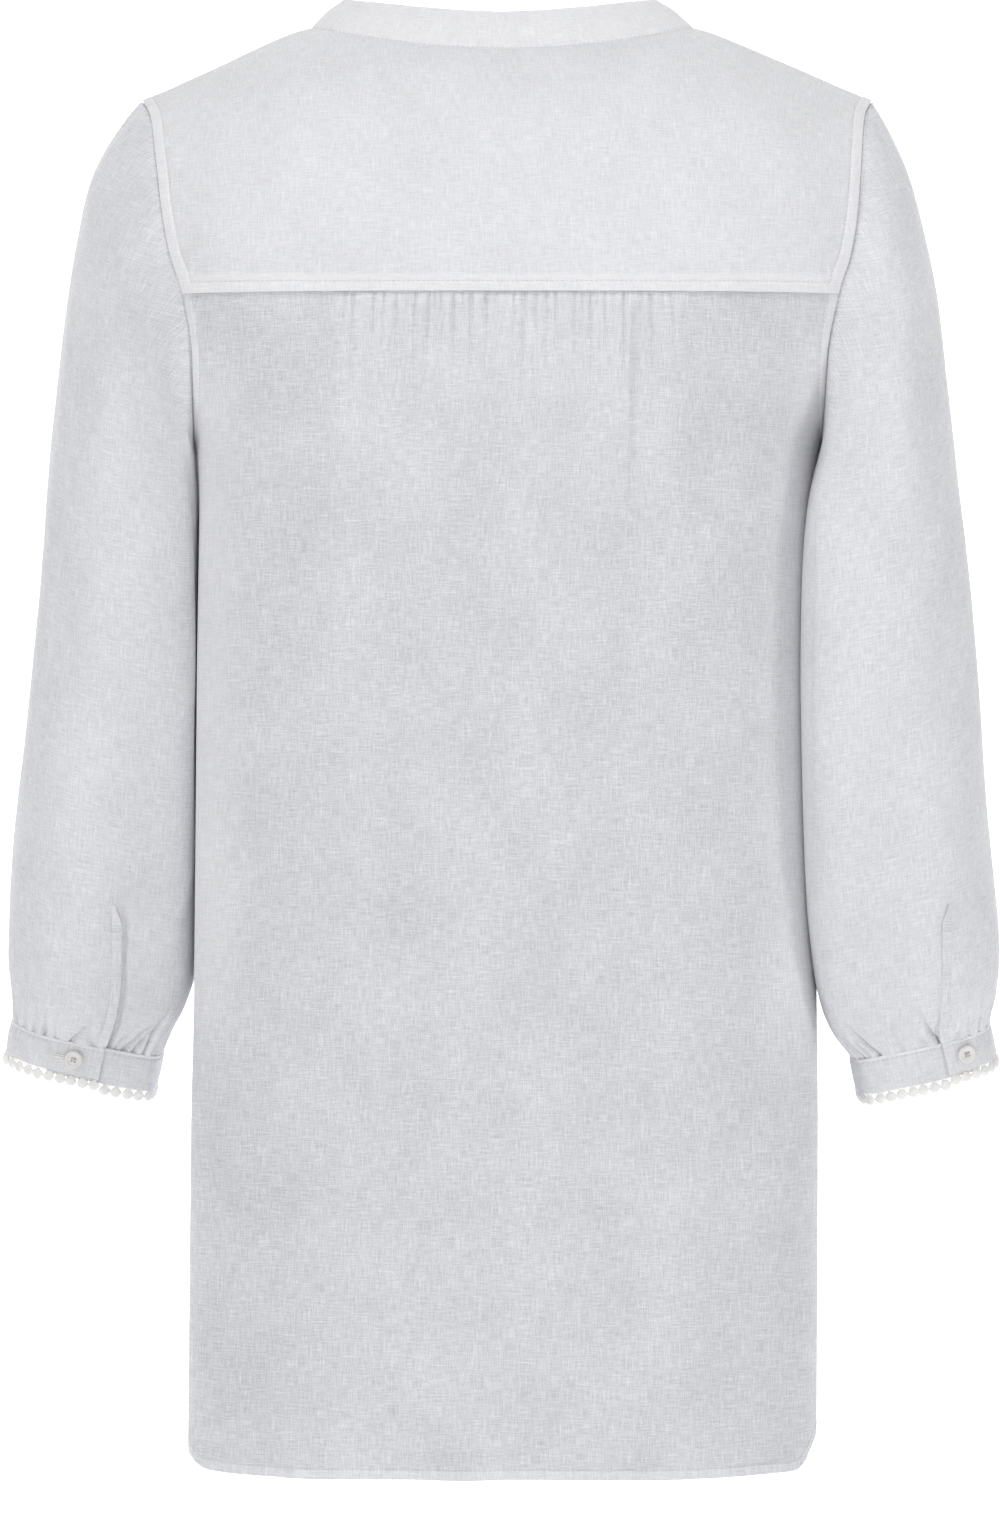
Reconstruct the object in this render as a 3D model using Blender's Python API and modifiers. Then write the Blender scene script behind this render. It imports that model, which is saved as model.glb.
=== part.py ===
"""A white linen tunic top, filled out as if worn, in metres with +Z up.

The front faces -Y and the wearer's left is +X. The origin is the middle of the neck's base,
level with the neck ends of the shoulders. Every panel is cut from one smooth form: the torso,
which is a rounded oblong in plan and an arch over the shoulders, or a sleeve, which is a fan
of rounded rings from the armhole to the cuff.
"""

import math

import bmesh
import bpy
import numpy as np
from mathutils import Matrix, Vector


def table(columns, *rows):
    """A short table as one array for each named column."""
    return dict(zip(columns.split(), np.array(rows, float).T))


# Cloth and seams
CLOTH = 0.0012  # one layer of linen
DOUBLE_CLOTH = 0.0016  # the yoke, neckband and cuffs are two layers
SEAM = 0.0003  # air between two panels that are sewn together
ARMHOLE_SETBACK = 0.0006  # walls that meet at an angle stop this much short of the seam line

# The torso: an oblong of this exponent in plan, and a quarter-round of this size at the top
OBLONG = 2.4
SHOULDER_ROUND = 0.14
SHOULDER_SLOPE = 0.449
CHORD_ROOM = 0.0002  # for the difference between two panels' facets along a curved seam
SHOULDER_START = 0.118  # how far out the slope of the shoulder begins
SHOULDER_SOFTNESS = 0.01
HEM = -0.8625
HEM_LIFT = 0.0045  # the hem rounds up this much at the side seams
HEM_CORNER = 8  # the higher, the shorter that rounding
UNDERARM = -0.252
BODY_ROWS = (-0.278, -0.365, -0.490, -0.660, HEM)  # rows of a panel below the underarm
BACK_FIRST_ROW = 0.004  # how far below their top edge the panels' next rows may start
FRONT_FIRST_ROW = 0.008
SIDE_COLUMNS = 8
NORMAL_STEP = 0.0005  # distance over which a normal is worked out
ARMHOLE_SAMPLES = 401
SIDE_SHARE = 0.97  # share of the torso's depth past which its side counts as level
TORSO = table(
    "z side back front lean",
    (0.030, 0.2750, 0.113, 0.119, 0.0020),
    (-0.045, 0.2620, 0.116, 0.123, -0.0030),
    (-0.157, 0.2290, 0.118, 0.128, -0.0050),
    (-0.205, 0.2075, 0.117, 0.128, -0.0045),
    (UNDERARM, 0.1868, 0.115, 0.126, -0.0035),
    (-0.290, 0.1838, 0.114, 0.125, -0.0028),
    (-0.400, 0.1845, 0.113, 0.124, -0.0020),
    (-0.580, 0.1862, 0.114, 0.125, -0.0020),
    (-0.660, 0.1875, 0.116, 0.127, -0.0015),
    (-0.870, 0.1880, 0.119, 0.130, 0.0000),
)
ARMHOLE = table(
    "z x",
    (-0.0430, 0.2190),
    (-0.0560, 0.2126),
    (-0.0800, 0.2095),
    (-0.1150, 0.2057),
    (-0.1400, 0.2010),
    (-0.1600, 0.1945),
    (-0.2000, 0.1880),
    (UNDERARM, 0.1868),
)

# Yoke, neckline and neckband
YOKE_SEAM = -0.162
YOKE_FORWARD = 0.035  # the yoke wraps this far over the shoulder to the front
NECK_HALF_WIDTH = 0.115
NECK_DROP = 0.0155  # how far the back of the neck dips
V_DEPTH = 0.32  # length of the neckline's point from the shoulder, along the cloth
V_CURVE = 1.7
BAND_WIDTH = 0.029
YOKE_CORNER = 0.003  # no row of the yoke's side lies this near to its corners
YOKE_COLUMNS = 16
YOKE_ROWS = 7
BAND_COLUMNS = 30
BAND = table(  # along: 0 at the back of the neck, 1 at its side and 2 at the point
    "along tilt",
    (0.0, 21),
    (1.0, 30),
    (1.2, 20),
    (1.5, 6),
    (2.0, 2),
)

# Gathers of the back panel under the yoke: each is a crease, in millimetres
GATHERS = table(
    "x deep long",
    (97.2, 1.2, 60),
    (92.5, 2.4, 150),
    (80.1, 1.4, 70),
    (74.2, 1.5, 60),
    (67.1, 1.6, 80),
    (56.5, 1.8, 90),
    (47.7, 2.2, 130),
    (41.2, 1.5, 70),
    (33.6, 1.6, 80),
    (23.6, 1.8, 90),
    (14.1, 1.6, 80),
    (-1.8, 2.2, 110),
    (-8.2, 2.4, 160),
    (-21.2, 1.6, 80),
    (-26.5, 1.5, 70),
    (-37.7, 2.2, 120),
    (-47.1, 2.4, 160),
    (-55.4, 1.5, 70),
    (-66.6, 2.4, 150),
    (-80.1, 1.6, 80),
    (-94.2, 1.8, 90),
)
CREASE_HALF_WIDTH = 0.0023
CREASE_FADE = 1.4  # the higher, the more suddenly a crease ends
CREASE_COLUMN = 0.0032  # from a crease's own column to the ones beside it

# Long soft folds of the body: where, how wide and how deep at the hem, in millimetres
BODY_FOLDS = table(
    "x wide deep",
    (128, 26, 2.6),
    (62, 30, 2.0),
    (-4, 34, 2.4),
    (-72, 28, 2.2),
    (-126, 24, 3.0),
)
FOLD_START = -0.30  # height where the long folds begin
FOLD_GROWTH = 0.55  # length over which they grow to their full depth
FOLD_EDGE = 0.12  # share of the half width, at the side seams, where they fade out

# Sleeves: a ring for each row, whose outside and inside points lie in the XZ plane
SLEEVE_ROUND = 2.3
SLEEVE_CLEAR = 0.0022  # from the middle of the body's wall to the middle of the sleeve's
CAP_BLEND = 0.055  # length over which the armhole's outline turns into a plain ring
SLEEVE = table(
    "down out_z in_z out_left out_right in_left in_right mid_left mid_right depth tilt",
    (0.000, -0.0440, -0.2520, 0.2197, 0.2222, 0.1840, 0.1905, -0.004, -0.004, 0.083, 0),
    (0.022, -0.0600, -0.2524, 0.2327, 0.2321, 0.1862, 0.1928, -0.005, -0.002, 0.082, 0),
    (0.050, -0.0850, -0.2560, 0.2450, 0.2419, 0.1866, 0.1930, -0.006, 0.002, 0.079, 0),
    (0.087, -0.1200, -0.2620, 0.2541, 0.2515, 0.1862, 0.1922, -0.010, 0.008, 0.075, 0),
    (0.133, -0.1650, -0.2710, 0.2621, 0.2604, 0.1855, 0.1900, -0.016, 0.016, 0.071, 1),
    (0.183, -0.2150, -0.2850, 0.2682, 0.2657, 0.1845, 0.1870, -0.022, 0.025, 0.068, 2),
    (0.234, -0.2650, -0.3080, 0.2733, 0.2708, 0.1830, 0.1838, -0.028, 0.033, 0.066, 3),
    (0.284, -0.3150, -0.3400, 0.2767, 0.2768, 0.1818, 0.1812, -0.033, 0.039, 0.064, 4),
    (0.335, -0.3650, -0.3800, 0.2818, 0.2812, 0.1810, 0.1798, -0.037, 0.043, 0.063, 5),
    (0.385, -0.4150, -0.4240, 0.2870, 0.2847, 0.1810, 0.1793, -0.041, 0.044, 0.062, 7),
    (0.435, -0.4650, -0.4700, 0.2930, 0.2885, 0.1815, 0.1795, -0.046, 0.042, 0.060, 9),
    (0.485, -0.5150, -0.5180, 0.2973, 0.2936, 0.1822, 0.1803, -0.052, 0.036, 0.056, 11),
    (0.525, -0.5530, -0.5600, 0.2986, 0.2966, 0.1845, 0.1850, -0.057, 0.026, 0.051, 12),
    (0.552, -0.5750, -0.5850, 0.2970, 0.2953, 0.1920, 0.1912, -0.061, 0.018, 0.044, 13),
    (0.566, -0.5870, -0.5985, 0.2965, 0.2929, 0.1990, 0.1972, -0.063, 0.012, 0.036, 13),
    (0.575, -0.5945, -0.6130, 0.2966, 0.2918, 0.2050, 0.2079, -0.0645, 0.008, 0.026, 13),
)
SLEEVE_LENGTH = SLEEVE["down"][-1]
SLEEVE_COLUMNS = 36
SLEEVE_ROWS = (0, 0.004, 0.030, 0.070, 0.120, 0.180, 0.260, 0.360, 0.450, 0.510, 0.545, 0.563)
CUFF_GATHERS = 18  # round each sleeve, at every second column, of uneven depth
CUFF_GATHER_DEPTHS = (1.6, 1.1, 1.9, 0.9, 1.5)  # in millimetres, over and over
CUFF_GATHER_LENGTH = 0.045
CUFF_GATHER_HALF_TURN = 0.08

# Cuffs, their slits, buttons and picot edging. A turn is 0 at the inside of the sleeve,
# pi / 2 at its front, pi at its outside and 3 pi / 2 at its back.
CUFF_GAP = 0.0008  # the sleeve slants into the cuff, so its edge stops this much above
FLAP_DEPTH = 0.0200
UNDERLAP_DEPTH = 0.0225
LAP = 0.55  # turn that the flap covers of the underlap
LAP_BLEND = 0.6
FLAP_EDGE = {"left": 4.856, "right": 4.479}
BUTTON_TURN = {"left": 4.637, "right": 4.161}
SLIT_LENGTH = 0.083
SLIT_TOP = {"left": 4.828, "right": 4.356}
PLACKET_WIDTH = 0.006
PLACKET_WALL = 0.0010
PLACKET_FOOT = 0.003  # it stops this far above the cuff
CUFF_COLUMNS = 46
PICOTS = 35
PICOT_STEPS = 4
PICOT_DROP = 0.007
PICOT_ROUND = 0.7  # the lower, the blunter a point
PICOT_TAPE = 0.0018
PICOT_WALL = 0.0016
BUTTON_RADIUS = 0.0057
BUTTON_THICK = 0.0024
BUTTON_EDGE = 0.0006
BUTTON_SIDES = 20
BUTTON_SHANK = 0.0005  # length of thread between a button and its cuff
BUTTON_HOLE_RADIUS = 0.0007
BUTTON_HOLE_OFFSET = 0.0013

LINEN = (0.79, 0.79, 0.81)
DOUBLE_LINEN = (0.86, 0.86, 0.88)
COTTON_TRIM = (0.88, 0.88, 0.88)
PEARL = (0.80, 0.79, 0.76)


def follow(rows, key, column, at):
    """A smooth curve through a table's column, read where the key column has the values at."""
    order = np.argsort(rows[key])
    x, y = rows[key][order], rows[column][order]
    step = np.diff(x)
    slope = np.diff(y) / step
    product = slope[:-1] * slope[1:]
    total = np.where(product > 0, slope[:-1] + slope[1:], 1)
    bend = np.where(product > 0, 2 * product / total, 0)
    bend = np.concatenate([slope[:1], bend, slope[-1:]])
    at = np.clip(at, x[0], x[-1])
    i = np.clip(np.searchsorted(x, at) - 1, 0, len(step) - 1)
    t = (at - x[i]) / step[i]
    start = (1 + 2 * t) * (1 - t) ** 2 * y[i] + t * (1 - t) ** 2 * step[i] * bend[i]
    return start + t * t * (3 - 2 * t) * y[i + 1] + t * t * (t - 1) * step[i] * bend[i + 1]


def smooth(t):
    """0 below 0, 1 above 1 and a soft step between."""
    t = np.clip(t, 0, 1)
    return t * t * (3 - 2 * t)


def even(points, count):
    """The points of a line again, count of them, the same distance apart along it."""
    length = np.linalg.norm(np.diff(points, axis=0), axis=1)
    run = np.concatenate([[0], np.cumsum(length)])
    want = np.linspace(0, run[-1], count)
    return np.stack([np.interp(want, run, column) for column in points.T], axis=1)


def normals(points):
    """Unit normals of a grid of points."""
    n = np.cross(np.gradient(points, axis=1), np.gradient(points, axis=0))
    return n / np.maximum(np.linalg.norm(n, axis=-1, keepdims=True), 1e-12)


def shoulder_height(x):
    """Height of the shoulder's ridge: level to the neck's side, then a steady slope."""
    past = np.abs(x) - SHOULDER_START
    fall = (past + np.sqrt(past**2 + SHOULDER_SOFTNESS**2)) / 2
    start = NECK_HALF_WIDTH - SHOULDER_START
    level = (start + math.hypot(start, SHOULDER_SOFTNESS)) / 2
    return -SHOULDER_SLOPE * (fall - level)


def arch_at(x, z):
    """Length along the cloth, from the shoulder's ridge down to height z."""
    drop = np.maximum(shoulder_height(x) - z, 0)
    turn = np.arccos(1 - np.minimum(drop / SHOULDER_ROUND, 1))
    return SHOULDER_ROUND * turn + np.maximum(drop - SHOULDER_ROUND, 0)


def torso(x, arch):
    """The torso before its lean; arch is positive down the back and negative down the front."""
    turn = np.minimum(np.abs(arch) / SHOULDER_ROUND, math.pi / 2)
    below = np.maximum(np.abs(arch) - SHOULDER_ROUND * math.pi / 2, 0)
    z = shoulder_height(x) - SHOULDER_ROUND * (1 - np.cos(turn)) - below
    side = follow(TORSO, "z", "side", z)
    back, front = follow(TORSO, "z", "back", z), follow(TORSO, "z", "front", z)
    across = (1 - np.minimum(np.abs(x) / side, 1) ** OBLONG) ** (1 / OBLONG)
    y = np.where(arch >= 0, back, -front) * across * np.sin(turn)
    return np.stack(np.broadcast_arrays(x, y, z), axis=-1)


def lean(points):
    """The torso's slight sideways lean, which depends on the height."""
    moved = points.copy()
    moved[..., 0] += follow(TORSO, "z", "lean", points[..., 2])
    return moved


def armhole_x(arch):
    """Where the armhole's seam is at a distance along the cloth from the shoulder's ridge."""
    x = np.full(np.shape(arch), ARMHOLE["x"][0])
    for _ in range(40):
        x = (x + follow(ARMHOLE, "z", "x", torso(x, arch)[..., 2])) / 2
    return x


def torso_out(x, arch):
    """Unit normals of the torso, pointing out of it."""
    step = NORMAL_STEP
    out = np.cross(
        torso(x + step, arch) - torso(x - step, arch),
        torso(x, arch + step) - torso(x, arch - step),
    )
    return out / np.linalg.norm(out, axis=-1, keepdims=True)


def armhole_line(setback):
    """The armhole's seam, from the underarm up the front and down the back to it again.

    It is moved along the cloth by the setback, away from the sleeve where that is positive.
    """
    lowest = arch_at(ARMHOLE["x"][-1], UNDERARM)
    arch = np.linspace(-lowest, lowest, ARMHOLE_SAMPLES)
    x = armhole_x(arch)
    line = torso(x, arch)
    away = np.cross(torso_out(x, arch), np.gradient(line, axis=0))
    away /= np.linalg.norm(away, axis=1, keepdims=True)
    return line + away * setback


def armhole_stations():
    """Where each column of a sleeve starts, as a place along the samples of the armhole's line."""
    line = armhole_line(-ARMHOLE_SETBACK)
    length = np.linalg.norm(np.diff(line, axis=0), axis=1)
    run = np.concatenate([[0], np.cumsum(length)])
    want = np.linspace(0, run[-1], SLEEVE_COLUMNS + 1)
    return np.interp(want, run, np.arange(len(line)))


def armhole_edge():
    """The panels' side of the armhole, as x, arch and height, a row for each sleeve column."""
    line = armhole_line(ARMHOLE_SETBACK)
    places = np.arange(len(line))
    x, y, z = (np.interp(armhole_stations(), places, column) for column in line.T)
    return np.stack([x, arch_at(x, z) * np.sign(y), z], axis=1)


def armhole_heights(facing, top):
    """Heights of the sleeve's columns along one side of the armhole, from the top down."""
    edge = armhole_edge()
    middle = SLEEVE_COLUMNS // 2
    heights = edge[middle:, 2] if facing > 0 else edge[middle::-1, 2]
    return tuple(heights[heights < top])


def side_x(z, facing):
    """The edge of a panel: its side seam, or its armhole; facing is 1 at the back, -1 in front."""
    edge = armhole_edge()
    middle = SLEEVE_COLUMNS // 2
    half = edge[:middle - 1:-1] if facing > 0 else edge[:middle + 1]
    armhole = np.interp(z, half[:, 2], half[:, 0])
    return np.where(z <= half[0, 2], follow(TORSO, "z", "side", z), armhole)


def armhole_corner(arch):
    """The panels' side of the armhole where a seam at this arch meets it."""
    edge = armhole_edge()
    return float(np.interp(arch, edge[:, 1], edge[:, 0]))


def rows_down(top, heights):
    """Shares from 0 at the top edge to 1 at the hem for panel rows at these heights."""
    return (top - np.array(heights)) / (top - HEM)


def hem_height(across):
    """The hem at a share of the half width: level, and rounded up at the sides."""
    return HEM + HEM_LIFT * np.abs(across) ** HEM_CORNER


def side_columns(inner, count):
    """Columns from a share of the half width out to the side, closest at the side seam."""
    t = np.linspace(0, 1, count + 1)[1:]
    return 1 - (1 - inner) * (1 - t) ** OBLONG


def folded(points, outward_y):
    """Long soft folds that grow towards the hem."""
    grow = smooth((FOLD_START - points[..., 2]) / FOLD_GROWTH)
    depth = 0
    for x, wide, deep in zip(*BODY_FOLDS.values()):
        depth = depth + deep * np.exp(-(((points[..., 0] * 1000 * outward_y - x) / wide) ** 2))
    moved = points.copy()
    side = follow(TORSO, "z", "side", points[..., 2])
    inside = smooth((1 - np.abs(points[..., 0]) / side) / FOLD_EDGE)
    moved[..., 1] -= outward_y * depth / 1000 * grow * inside
    return moved


def gathered(points):
    """Creases of the back panel, sharpest under the yoke."""
    below = YOKE_SEAM - points[..., 2]
    depth = 0
    for x, deep, long in zip(*GATHERS.values()):
        near = np.exp(-(((points[..., 0] - x / 1000) / CREASE_HALF_WIDTH) ** 2))
        depth = depth + deep / 1000 * near * np.exp(-((below / (long / 1000)) ** CREASE_FADE))
    moved = points.copy()
    moved[..., 1] -= depth
    return moved


def material(name, colour, roughness):
    """A plain finish of one colour."""
    made = bpy.data.materials.new(name)
    made.use_nodes = True
    shader = made.node_tree.nodes["Principled BSDF"]
    shader.inputs["Base Color"].default_value = (*colour, 1)
    shader.inputs["Roughness"].default_value = roughness
    shader.inputs["Metallic"].default_value = 0
    return made


def finish(mesh, name, colour, roughness):
    """An object for a mesh, with its own material, in the garment's collection."""
    mesh.materials.append(material(name, colour, roughness))
    mesh.shade_smooth()
    made = bpy.data.objects.new(name, mesh)
    bpy.data.collections["tunic_top"].objects.link(made)
    return made


def cloth(name, points, wall, colour, closed=False):
    """A wall of cloth on a grid of points, whose first and last columns meet where closed."""
    if closed:
        points = np.concatenate([points, points[:, :1]], axis=1)
    rows, columns = points.shape[:2]
    bm = bmesh.new()
    bmesh.ops.create_grid(bm, x_segments=columns - 1, y_segments=rows - 1, size=1)
    for vertex, place in zip(bm.verts, points.reshape(-1, 3)):
        vertex.co = place
    bmesh.ops.remove_doubles(bm, verts=bm.verts, dist=0.00001)
    mesh = bpy.data.meshes.new(name)
    bm.to_mesh(mesh)
    bm.free()
    made = finish(mesh, name, colour, 0.85)
    wall_maker = made.modifiers.new("wall", "SOLIDIFY")
    wall_maker.thickness = wall
    wall_maker.offset = 0
    wall_maker.use_even_offset = True
    return made


def back():
    """The back panel, gathered into the yoke, from armhole to armhole and down to the hem."""
    beside = (-CREASE_COLUMN, 0, CREASE_COLUMN)
    creases = np.sort(np.concatenate([GATHERS["x"] / 1000 + step for step in beside]))
    spread = creases / side_x(YOKE_SEAM, 1)
    left = side_columns(spread[-1], SIDE_COLUMNS)
    right = -side_columns(-spread[0], SIDE_COLUMNS)[::-1]
    across = np.concatenate([right, spread, left])
    top = YOKE_SEAM - SEAM - CHORD_ROOM
    heights = (top,) + armhole_heights(1, top - BACK_FIRST_ROW) + BODY_ROWS
    share = rows_down(top, heights)[:, None]
    z = top * (1 - share) + hem_height(across) * share
    x = across * side_x(np.array(heights), 1)[:, None]
    points = torso(x, arch_at(x, z))
    points = folded(gathered(points), 1)
    cloth("back", lean(points) + [0, SEAM / 2, 0], CLOTH, LINEN)


def front():
    """The front panel, whose top edge runs along the yoke and down to the neckline's point."""
    corner = YOKE_FORWARD + SEAM + CHORD_ROOM
    top_x = armhole_corner(-corner)
    neck = NECK_HALF_WIDTH * (1 - (corner / V_DEPTH) ** V_CURVE)
    inner = np.linspace(0, neck, 11)[1:] / top_x
    outer = side_columns(neck / top_x, SIDE_COLUMNS)
    across = np.concatenate([-outer[::-1], -inner[::-1], [0], inner, outer])
    open_by = np.maximum(1 - np.abs(across) * top_x / NECK_HALF_WIDTH, 0) ** (1 / V_CURVE)
    edge = torso(across * top_x, -np.maximum(V_DEPTH * open_by, corner))[:, 2]
    top = edge[0]
    heights = (top,) + armhole_heights(-1, top - FRONT_FIRST_ROW) + BODY_ROWS
    share = rows_down(top, heights)[:, None]
    z = edge * (1 - share) + hem_height(across) * share
    width = side_x(np.array(heights), -1)
    width[0] = top_x
    x = across * width[:, None]
    points = folded(torso(x, -arch_at(x, z)), -1)
    cloth("front", lean(points) - [0, SEAM / 2, 0], CLOTH, LINEN)


def neckline(count):
    """One half of the neck seam as x and arch, from the back of the neck to the point."""
    angle = np.linspace(0, math.pi / 2, count)
    x = NECK_HALF_WIDTH * np.sin(angle)
    back_half = np.stack([x, arch_at(x, -NECK_DROP * np.cos(angle) ** 2)], axis=1)
    back_half[-1, 1] = 0
    share = np.linspace(0, 1, count)[1:]
    x = NECK_HALF_WIDTH * (1 - share**V_CURVE)
    front_half = np.stack([x, -V_DEPTH * share], axis=1)
    return np.concatenate([back_half, front_half])


def yoke():
    """The yoke: round the neck from one front edge, over the shoulders and back, to the other."""
    line = neckline(200)
    line = line[line[:, 1] >= -YOKE_FORWARD]
    edge = armhole_edge()[:, :2]
    corner = float(side_x(YOKE_SEAM, 1))
    lowest = arch_at(corner, YOKE_SEAM) - YOKE_CORNER
    within = (edge[:, 1] > YOKE_CORNER - YOKE_FORWARD) & (edge[:, 1] < lowest)
    front_corner = [[armhole_corner(-YOKE_FORWARD), -YOKE_FORWARD]]
    x = corner * np.linspace(1, 0, YOKE_COLUMNS + 1)
    seam = np.stack([x, arch_at(x, YOKE_SEAM)], axis=1)
    outer = np.concatenate([front_corner, edge[within], seam])
    inner = even(line[::-1], len(outer))
    share = np.linspace(0, 1, YOKE_ROWS)[:, None, None]
    half = inner * (1 - share) + outer * share
    whole = np.concatenate([half, half[:, -2::-1] * [-1, 1]], axis=1)
    cloth("yoke", lean(torso(whole[..., 0], whole[..., 1])), DOUBLE_CLOTH, DOUBLE_LINEN)


def neck_band():
    """The stand band round the neck, which lies flatter down to the neckline's point."""
    line = neckline(300)
    along = np.linspace(0, 2, len(line))
    points = torso(line[:, 0], line[:, 1])
    out = torso_out(line[:, 0], line[:, 1])
    forward = np.gradient(points, axis=0)
    forward /= np.linalg.norm(forward, axis=1, keepdims=True)
    inward = np.cross(forward, out)
    inward /= np.linalg.norm(inward, axis=1, keepdims=True)
    tilt = np.radians(follow(BAND, "along", "tilt", along))[:, None]
    rise = inward * np.cos(tilt) + out * np.sin(tilt)
    start = SEAM + DOUBLE_CLOTH / 2 * np.sin(tilt) + CLOTH / 4
    rows = []
    for share in (0, 0.5, 1):
        edge = points + rise * (start * (1 - share) + BAND_WIDTH * share)
        edge = edge[(edge[:, 0] >= 0) | (along < 1)]
        edge[0, 0] = edge[-1, 0] = 0
        half = even(edge, BAND_COLUMNS + 1)
        other = half[-2:0:-1] * [-1, 1, 1]
        rows.append(np.concatenate([half, other]))
    cloth("neck_band", lean(np.stack(rows)), DOUBLE_CLOTH, DOUBLE_LINEN, closed=True)


def armhole_loop(side, turn):
    """The armhole's seam, from the underarm up the front and down the back, by share of its length."""
    loop = armhole_line(-ARMHOLE_SETBACK)
    loop[:, 0] += side * follow(TORSO, "z", "lean", loop[:, 2])
    column = np.mod(turn / (2 * math.pi), 1) * SLEEVE_COLUMNS
    place = np.interp(column, np.arange(SLEEVE_COLUMNS + 1), armhole_stations())
    samples = np.arange(len(loop))
    return np.stack([np.interp(place, samples, values) for values in loop.T], axis=-1)


def rounded(turn):
    """Cosine and sine of a turn, squared off a little."""
    c, s = np.cos(turn), np.sin(turn)
    power = 2 / SLEEVE_ROUND
    return np.sign(c) * np.abs(c) ** power, np.sign(s) * np.abs(s) ** power


def sleeve_surface(side, down, turn, creased=False):
    """Points of a sleeve, as if it were the left one; side is 1 for the left and -1 for the right."""
    hand = "left" if side > 0 else "right"
    names = ("out_z", "in_z", "out_" + hand, "in_" + hand, "mid_" + hand, "depth", "tilt")
    out_z, in_z, out_x, in_x, mid_y, depth, tilt = (follow(SLEEVE, "down", n, down) for n in names)
    c, s = rounded(turn)
    near = -s * depth
    x = (out_x + in_x) / 2 - c * (out_x - in_x) / 2
    z = (out_z + in_z) / 2 - c * (out_z - in_z) / 2 - near * np.sin(np.radians(tilt))
    y = mid_y + near * np.cos(np.radians(tilt))
    ring = np.stack(np.broadcast_arrays(x, y, z), axis=-1)
    if creased:
        fade = smooth(1 - (SLEEVE_LENGTH - down) / CUFF_GATHER_LENGTH)
        pull = 0
        for i in range(CUFF_GATHERS):
            deep = CUFF_GATHER_DEPTHS[i % len(CUFF_GATHER_DEPTHS)]
            off = np.mod(turn - i * 2 * math.pi / CUFF_GATHERS + math.pi, 2 * math.pi) - math.pi
            pull = pull + deep / 1000 * np.exp(-((off / CUFF_GATHER_HALF_TURN) ** 2))
        middle = np.stack(np.broadcast_arrays((out_x + in_x) / 2, mid_y, (out_z + in_z) / 2), axis=-1)
        away = ring - middle
        away /= np.linalg.norm(away, axis=-1, keepdims=True)
        ring = ring - away * (pull * fade)[..., None]
    share = smooth(down / CAP_BLEND)[..., None]
    ring = armhole_loop(side, turn) * (1 - share) + ring * share
    return clear_of_body(side, ring, SLEEVE_CLEAR * np.minimum(down / SLEEVE_ROWS[1], 1))


def clear_of_body(side, ring, clearance):
    """Sleeve points moved out to where the body's side, or its armhole, leaves them room."""
    y, z = ring[..., 1], ring[..., 2]
    depth = np.where(y > 0, follow(TORSO, "z", "back", z), follow(TORSO, "z", "front", z))
    share = np.minimum(np.abs(y) / depth, SIDE_SHARE)
    reach = (1 - share**OBLONG) ** (1 / OBLONG)
    width = follow(TORSO, "z", "side", z)
    slope = width / depth * (share / reach) ** (OBLONG - 1)
    clearance = clearance * np.sqrt(1 + slope**2)
    edge = width * reach
    edge = np.where(z > UNDERARM, np.minimum(edge, follow(ARMHOLE, "z", "x", z)), edge)
    moved = ring.copy()
    room = edge + side * follow(TORSO, "z", "lean", z) + clearance
    moved[..., 0] = np.where(clearance > 0, np.maximum(ring[..., 0], room), ring[..., 0])
    return moved


def sleeve(side, hand):
    """A sleeve, from its armhole seam to the gathers at its cuff."""
    down = np.array(SLEEVE_ROWS + (SLEEVE_LENGTH - CUFF_GAP,))
    turn = np.arange(SLEEVE_COLUMNS) * 2 * math.pi / SLEEVE_COLUMNS
    points = sleeve_surface(side, *np.meshgrid(down, turn, indexing="ij"), creased=True)
    cloth("sleeve_" + hand, points * [side, 1, 1], CLOTH, LINEN, closed=True)


def cuff_frame(side):
    """Directions of a cuff as if it were the left one: along it from inside to outside, and down."""
    hand = "left" if side > 0 else "right"
    last = {name: column[-1] for name, column in SLEEVE.items()}
    across = last["out_" + hand] - last["in_" + hand]
    outward = np.array([across, 0, last["out_z"] - last["in_z"]])
    outward /= np.linalg.norm(outward)
    tilt = math.radians(last["tilt"])
    nearer = np.array([0, math.cos(tilt), -math.sin(tilt)])
    return outward, -np.cross(outward, nearer)


def cuff_path(side, hand, travel):
    """The cuff's top edge: travel is the turn from the flap's edge, over the outside first."""
    down = cuff_frame(side)[1]
    turn = FLAP_EDGE[hand] - travel
    end = np.full(np.shape(turn), SLEEVE_LENGTH)
    ring = sleeve_surface(side, end, turn)
    beside = sleeve_surface(side, end, turn + 0.01) - sleeve_surface(side, end, turn - 0.01)
    out = np.cross(down, beside)
    out /= np.linalg.norm(out, axis=-1, keepdims=True)
    lift = (DOUBLE_CLOTH + SEAM) * smooth(1 - (travel - LAP) / LAP_BLEND)
    return ring + out * lift[..., None], out


def cuff_depth(travel):
    """The cuff's depth, which is a little more at its underlap than at its flap."""
    return FLAP_DEPTH + (UNDERLAP_DEPTH - FLAP_DEPTH) * travel / (2 * math.pi + LAP)


def cuff(side, hand):
    """A cuff: one strip of doubled linen that goes once round and on under its own flap."""
    travel = np.linspace(0, 2 * math.pi + LAP, CUFF_COLUMNS)
    top, _ = cuff_path(side, hand, travel)
    share = np.array([0, 0.5, 1])[:, None, None]
    points = top + cuff_frame(side)[1] * share * cuff_depth(travel)[:, None]
    cloth("cuff_" + hand, points * [side, 1, 1], DOUBLE_CLOTH, DOUBLE_LINEN)


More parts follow.
